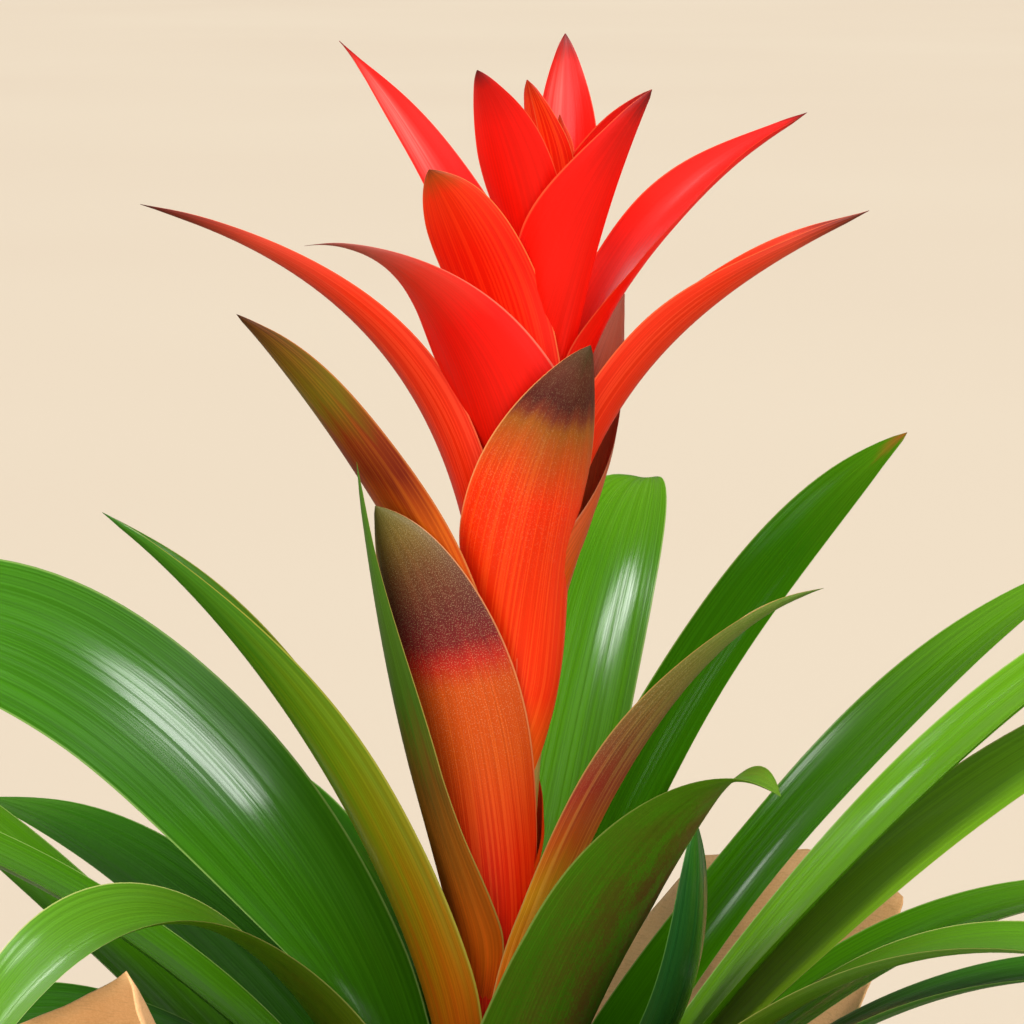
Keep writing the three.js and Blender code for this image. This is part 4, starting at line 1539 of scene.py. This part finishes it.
class Studio:
    """The camera, the floor and the soft lamps."""

    TARGET = Vector((0.009, 0.0, 0.320))
    DISTANCE = 0.9
    ELEVATION = 10.0
    LENS = 126.56
    SENSOR = 36
    CREAM = "f3e6cf"
    FLOOR_RADIUS = 30000
    FLOOR_DROP = 0.2
    PLANT_MIDDLE = 0.27
    STRIP_DISTANCE = 1.5

    def camera(self) -> None:
        """Sets the camera at the photograph's viewing angle."""
        data = bpy.data.cameras.new("camera")
        data.lens = self.LENS
        data.sensor_width = self.SENSOR
        camera = bpy.data.objects.new("camera", data)
        bpy.context.scene.collection.objects.link(camera)
        rise = math.radians(self.ELEVATION)
        back = Vector((0, -math.cos(rise), math.sin(rise)))
        camera.location = self.TARGET + back * self.DISTANCE
        camera.rotation_mode = "QUATERNION"
        camera.rotation_quaternion = (-back).to_track_quat("-Z", "Y")
        bpy.context.scene.camera = camera

    def floor(self) -> None:
        """Lays a plain pale floor."""
        material, tree, shader = new_material("floor")
        place = put(tree, "ShaderNodeTexCoord", out="Object")
        patch = noise_at(tree, place, (0.6, 0.6, 0.6), 2.0)
        shade = ramp(tree, patch, [(0.3, paint("c7baa8")), (0.7, paint("c9bdab"))])
        mirrored = put(tree, "ShaderNodeLightPath", out="Is Glossy Ray")
        plug(tree, shader.inputs["Base Color"], blend(tree, mirrored * 0.7, shade, paint("201c16")))
        shader.inputs["Roughness"].default_value = 0.9
        shader.inputs["Specular IOR Level"].default_value = 0.1
        level = -self.FLOOR_DROP
        points, faces = turned([(0, level), (self.FLOOR_RADIUS, level), (0, level)], 48)
        floor = mesh_piece("floor", points[:-1], [f for f in faces if len(points) - 1 not in f], material)
        for polygon in floor.data.polygons:
            if polygon.normal.z < 0:
                polygon.flip()

    def lamps(self) -> None:
        """Lights the plant softly from the upper left, with a dim surround for its gloss to mirror."""
        world = bpy.data.worlds.new("studio")
        world.use_nodes = True
        tree = world.node_tree
        background = tree.nodes["Background"]
        seen = put(tree, "ShaderNodeLightPath", out="Is Camera Ray")
        mirrored = put(tree, "ShaderNodeLightPath", out="Is Glossy Ray")
        plug(tree, background.inputs["Color"], blend(tree, seen, (1.0, 0.97, 0.93, 1.0), paint(self.CREAM)))
        plug(tree, background.inputs["Strength"], (seen * 0.2 + 0.8) * (1.0 - mirrored * 0.85))
        bpy.context.scene.world = world
        self._sun("key", (-0.55, -0.6, 1.0), 2.3, 35, (1.0, 0.97, 0.92))
        self._sun("fill", (0.5, -0.85, 0.5), 1.3, 60, (1.0, 0.98, 0.95))
        self._strip("front_window", (0.24, -0.83, 0.49), (1.5, 0.4), 14)
        self._strip("right_window", (0.76, -0.34, 0.56), (1.2, 0.4), 12)
        self._strip("back_window", (-0.70, 0.62, 0.38), (0.75, 0.2), 11)
        self._strip("overhead", (-0.55, 0.13, 0.83), (0.42, 0.26), 18)

    @staticmethod
    def _sun(name: str, towards: Sequence[float], strength: float, spread: float,
             colour: Sequence[float]) -> None:
        """Adds a wide sun.

        Args:
            name: the lamp's name.
            towards: the direction that its light comes from.
            strength: its strength.
            spread: how wide it is seen, in degrees.
            colour: its colour.
        """
        data = bpy.data.lights.new(name, "SUN")
        data.energy = strength
        data.angle = math.radians(spread)
        data.color = colour
        lamp = bpy.data.objects.new(name, data)
        lamp.rotation_mode = "QUATERNION"
        lamp.rotation_quaternion = Vector(towards).to_track_quat("Z", "Y")
        lamp.visible_glossy = False
        bpy.context.scene.collection.objects.link(lamp)

    def _strip(self, name: str, towards: Sequence[float], size: Point, radiance: float) -> None:
        """Adds a window-like lamp for the gloss alone. The suns light everything else.

        Args:
            name: the lamp's name.
            towards: the direction that it is seen in from the plant.
            size: its width and height.
            radiance: how bright its face is.
        """
        data = bpy.data.lights.new(name, "AREA")
        data.shape = "RECTANGLE"
        data.size, data.size_y = size
        data.energy = math.pi * size[0] * size[1] * radiance
        lamp = bpy.data.objects.new(name, data)
        away = Vector(towards).normalized()
        lamp.location = Vector((0, 0, self.PLANT_MIDDLE)) + away * self.STRIP_DISTANCE
        lamp.rotation_mode = "QUATERNION"
        lamp.rotation_quaternion = away.to_track_quat("Z", "Y")
        lamp.visible_diffuse = False
        lamp.visible_camera = False
        bpy.context.scene.collection.objects.link(lamp)


@dataclass(frozen=True)
class PlainFinish:
    """A finish that isn't on a blade: its two colours, its grain and the grain's depth in millimetres.

    Fibres, crumbs and flakes are colours that only some of these finishes have.
    """

    FIBRE = (300.0, 300.0, 2600.0)
    FIBRE_DEPTH = 0.03
    FLAKES_FROM = 0.96

    name: str
    dark: str
    light: str
    grain: float
    depth: float
    roughness: float
    coat: float = 0.0
    fibres: str = ""
    crumbs: str = ""
    flakes: str = ""

    def material(self, effects: Effects) -> bpy.types.Material:
        """Builds the finish.

        Args:
            effects: the shared groups.

        Returns:
            The material.
        """
        material, tree, shader = new_material(self.name)
        place = put(tree, "ShaderNodeTexCoord", out="Object")
        grit = use(tree, effects.grit, Place=place, Grain=self.grain, Depth=self.depth)
        patches = grit["Patch"] * 0.6 + grit["Fine"] * 0.4
        colour = ramp(tree, patches, [(0.32, paint(self.dark)), (0.68, paint(self.light))])
        height = grit["Height"]
        if self.fibres:
            fibre = noise_at(tree, place, self.FIBRE, 2.0)
            colour = blend(tree, fibre.eased(0.5, 0.75) * 0.25, colour, paint(self.fibres))
            height = height + fibre * self.FIBRE_DEPTH
        if self.crumbs:
            crumb = attribute(tree, "crumb")
            colour = blend(tree, crumb.eased(0.5, 0.9) * 0.5, colour, paint(self.crumbs))
            flake = crumb.math("GREATER_THAN", self.FLAKES_FROM)
            colour = blend(tree, flake, colour, paint(self.flakes))
        plug(tree, shader.inputs["Base Color"], colour)
        plug(tree, shader.inputs["Roughness"], grit["Fine"] * 0.14 + (self.roughness - 0.07))
        shader.inputs["Coat Weight"].default_value = self.coat
        relief(tree, shader, height)
        return material


class Plain(Enum):
    """The finishes of everything but the blades."""

    KRAFT = PlainFinish("kraft_paper", "e0a566", "f9ca94", 0.5, 0.05, 0.82, fibres="a8743f")
    PLASTIC = PlainFinish("brown_plastic", "4a3224", "5c3f2d", 0.9, 0.03, 0.5, coat=0.1)
    PEAT = PlainFinish("peat", "21160e", "4a3320", 1.1, 0.5, 0.95, crumbs="6a4a2c", flakes="d8d0c0")
    STALK = PlainFinish("pale_stem", "a8a850", "c8b868", 1.2, 0.06, 0.5, coat=0.05)


class Plant:
    """The potted plant: pot, soil, stem, bracts, leaves and paper."""

    BRACT_SEED = 0.77
    LEAF_SEED = 1.31

    def __init__(self) -> None:
        """Builds what the pieces share."""
        self.effects = Effects()
        self.stem = Stem()
        self.blades = BladeTree()
        self.finishes = {finish: finish.value.material(self.effects) for finish in Finish}

    def _plain(self, finish: Plain) -> bpy.types.Material:
        """The material of a plain finish."""
        return finish.value.material(self.effects)

    def holder(self) -> None:
        """Builds the pot, the soil and the paper."""
        settle(Pot().build(self._plain(Plain.PLASTIC)), "pot", "pot")
        settle(Soil().build(self._plain(Plain.PEAT)), "soil", "soil")
        settle(PaperWrap().build(self._plain(Plain.KRAFT)), "paper", "paper_wrap")

    def spike(self) -> None:
        """Builds the stem, the stalk and the bracts."""
        settle(self.stem.build(self._plain(Plain.STALK)), "bract", "flower_spike")
        for number, bract in enumerate(BRACTS, start=1):
            piece = self.blades.grow(
                f"bract_{number:02d}", bract, self.stem.bract_root(bract), number * self.BRACT_SEED,
                self.finishes[bract.finish], self.stem.lean, self.stem.stalk_foot,
            )
            settle(piece, "bract", "flower_spike")

    def rosette(self) -> None:
        """Builds the leaves."""
        for number, leaf in enumerate(LEAVES, start=1):
            piece = self.blades.grow(
                f"leaf_blade_{number:02d}", leaf, self.stem.leaf_root(leaf), number * self.LEAF_SEED,
                self.finishes[leaf.finish],
            )
            settle(piece, "leaf", f"leaf_{number:02d}")


def main() -> None:
    """Builds the scene."""
    logging.basicConfig(level=logging.INFO, format="%(message)s")
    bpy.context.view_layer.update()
    bpy.context.scene.view_settings.view_transform = "Standard"
    studio = Studio()
    studio.camera()
    plant = Plant()
    plant.holder()
    plant.spike()
    plant.rosette()
    studio.floor()
    studio.lamps()


if __name__ == "__main__":
    main()
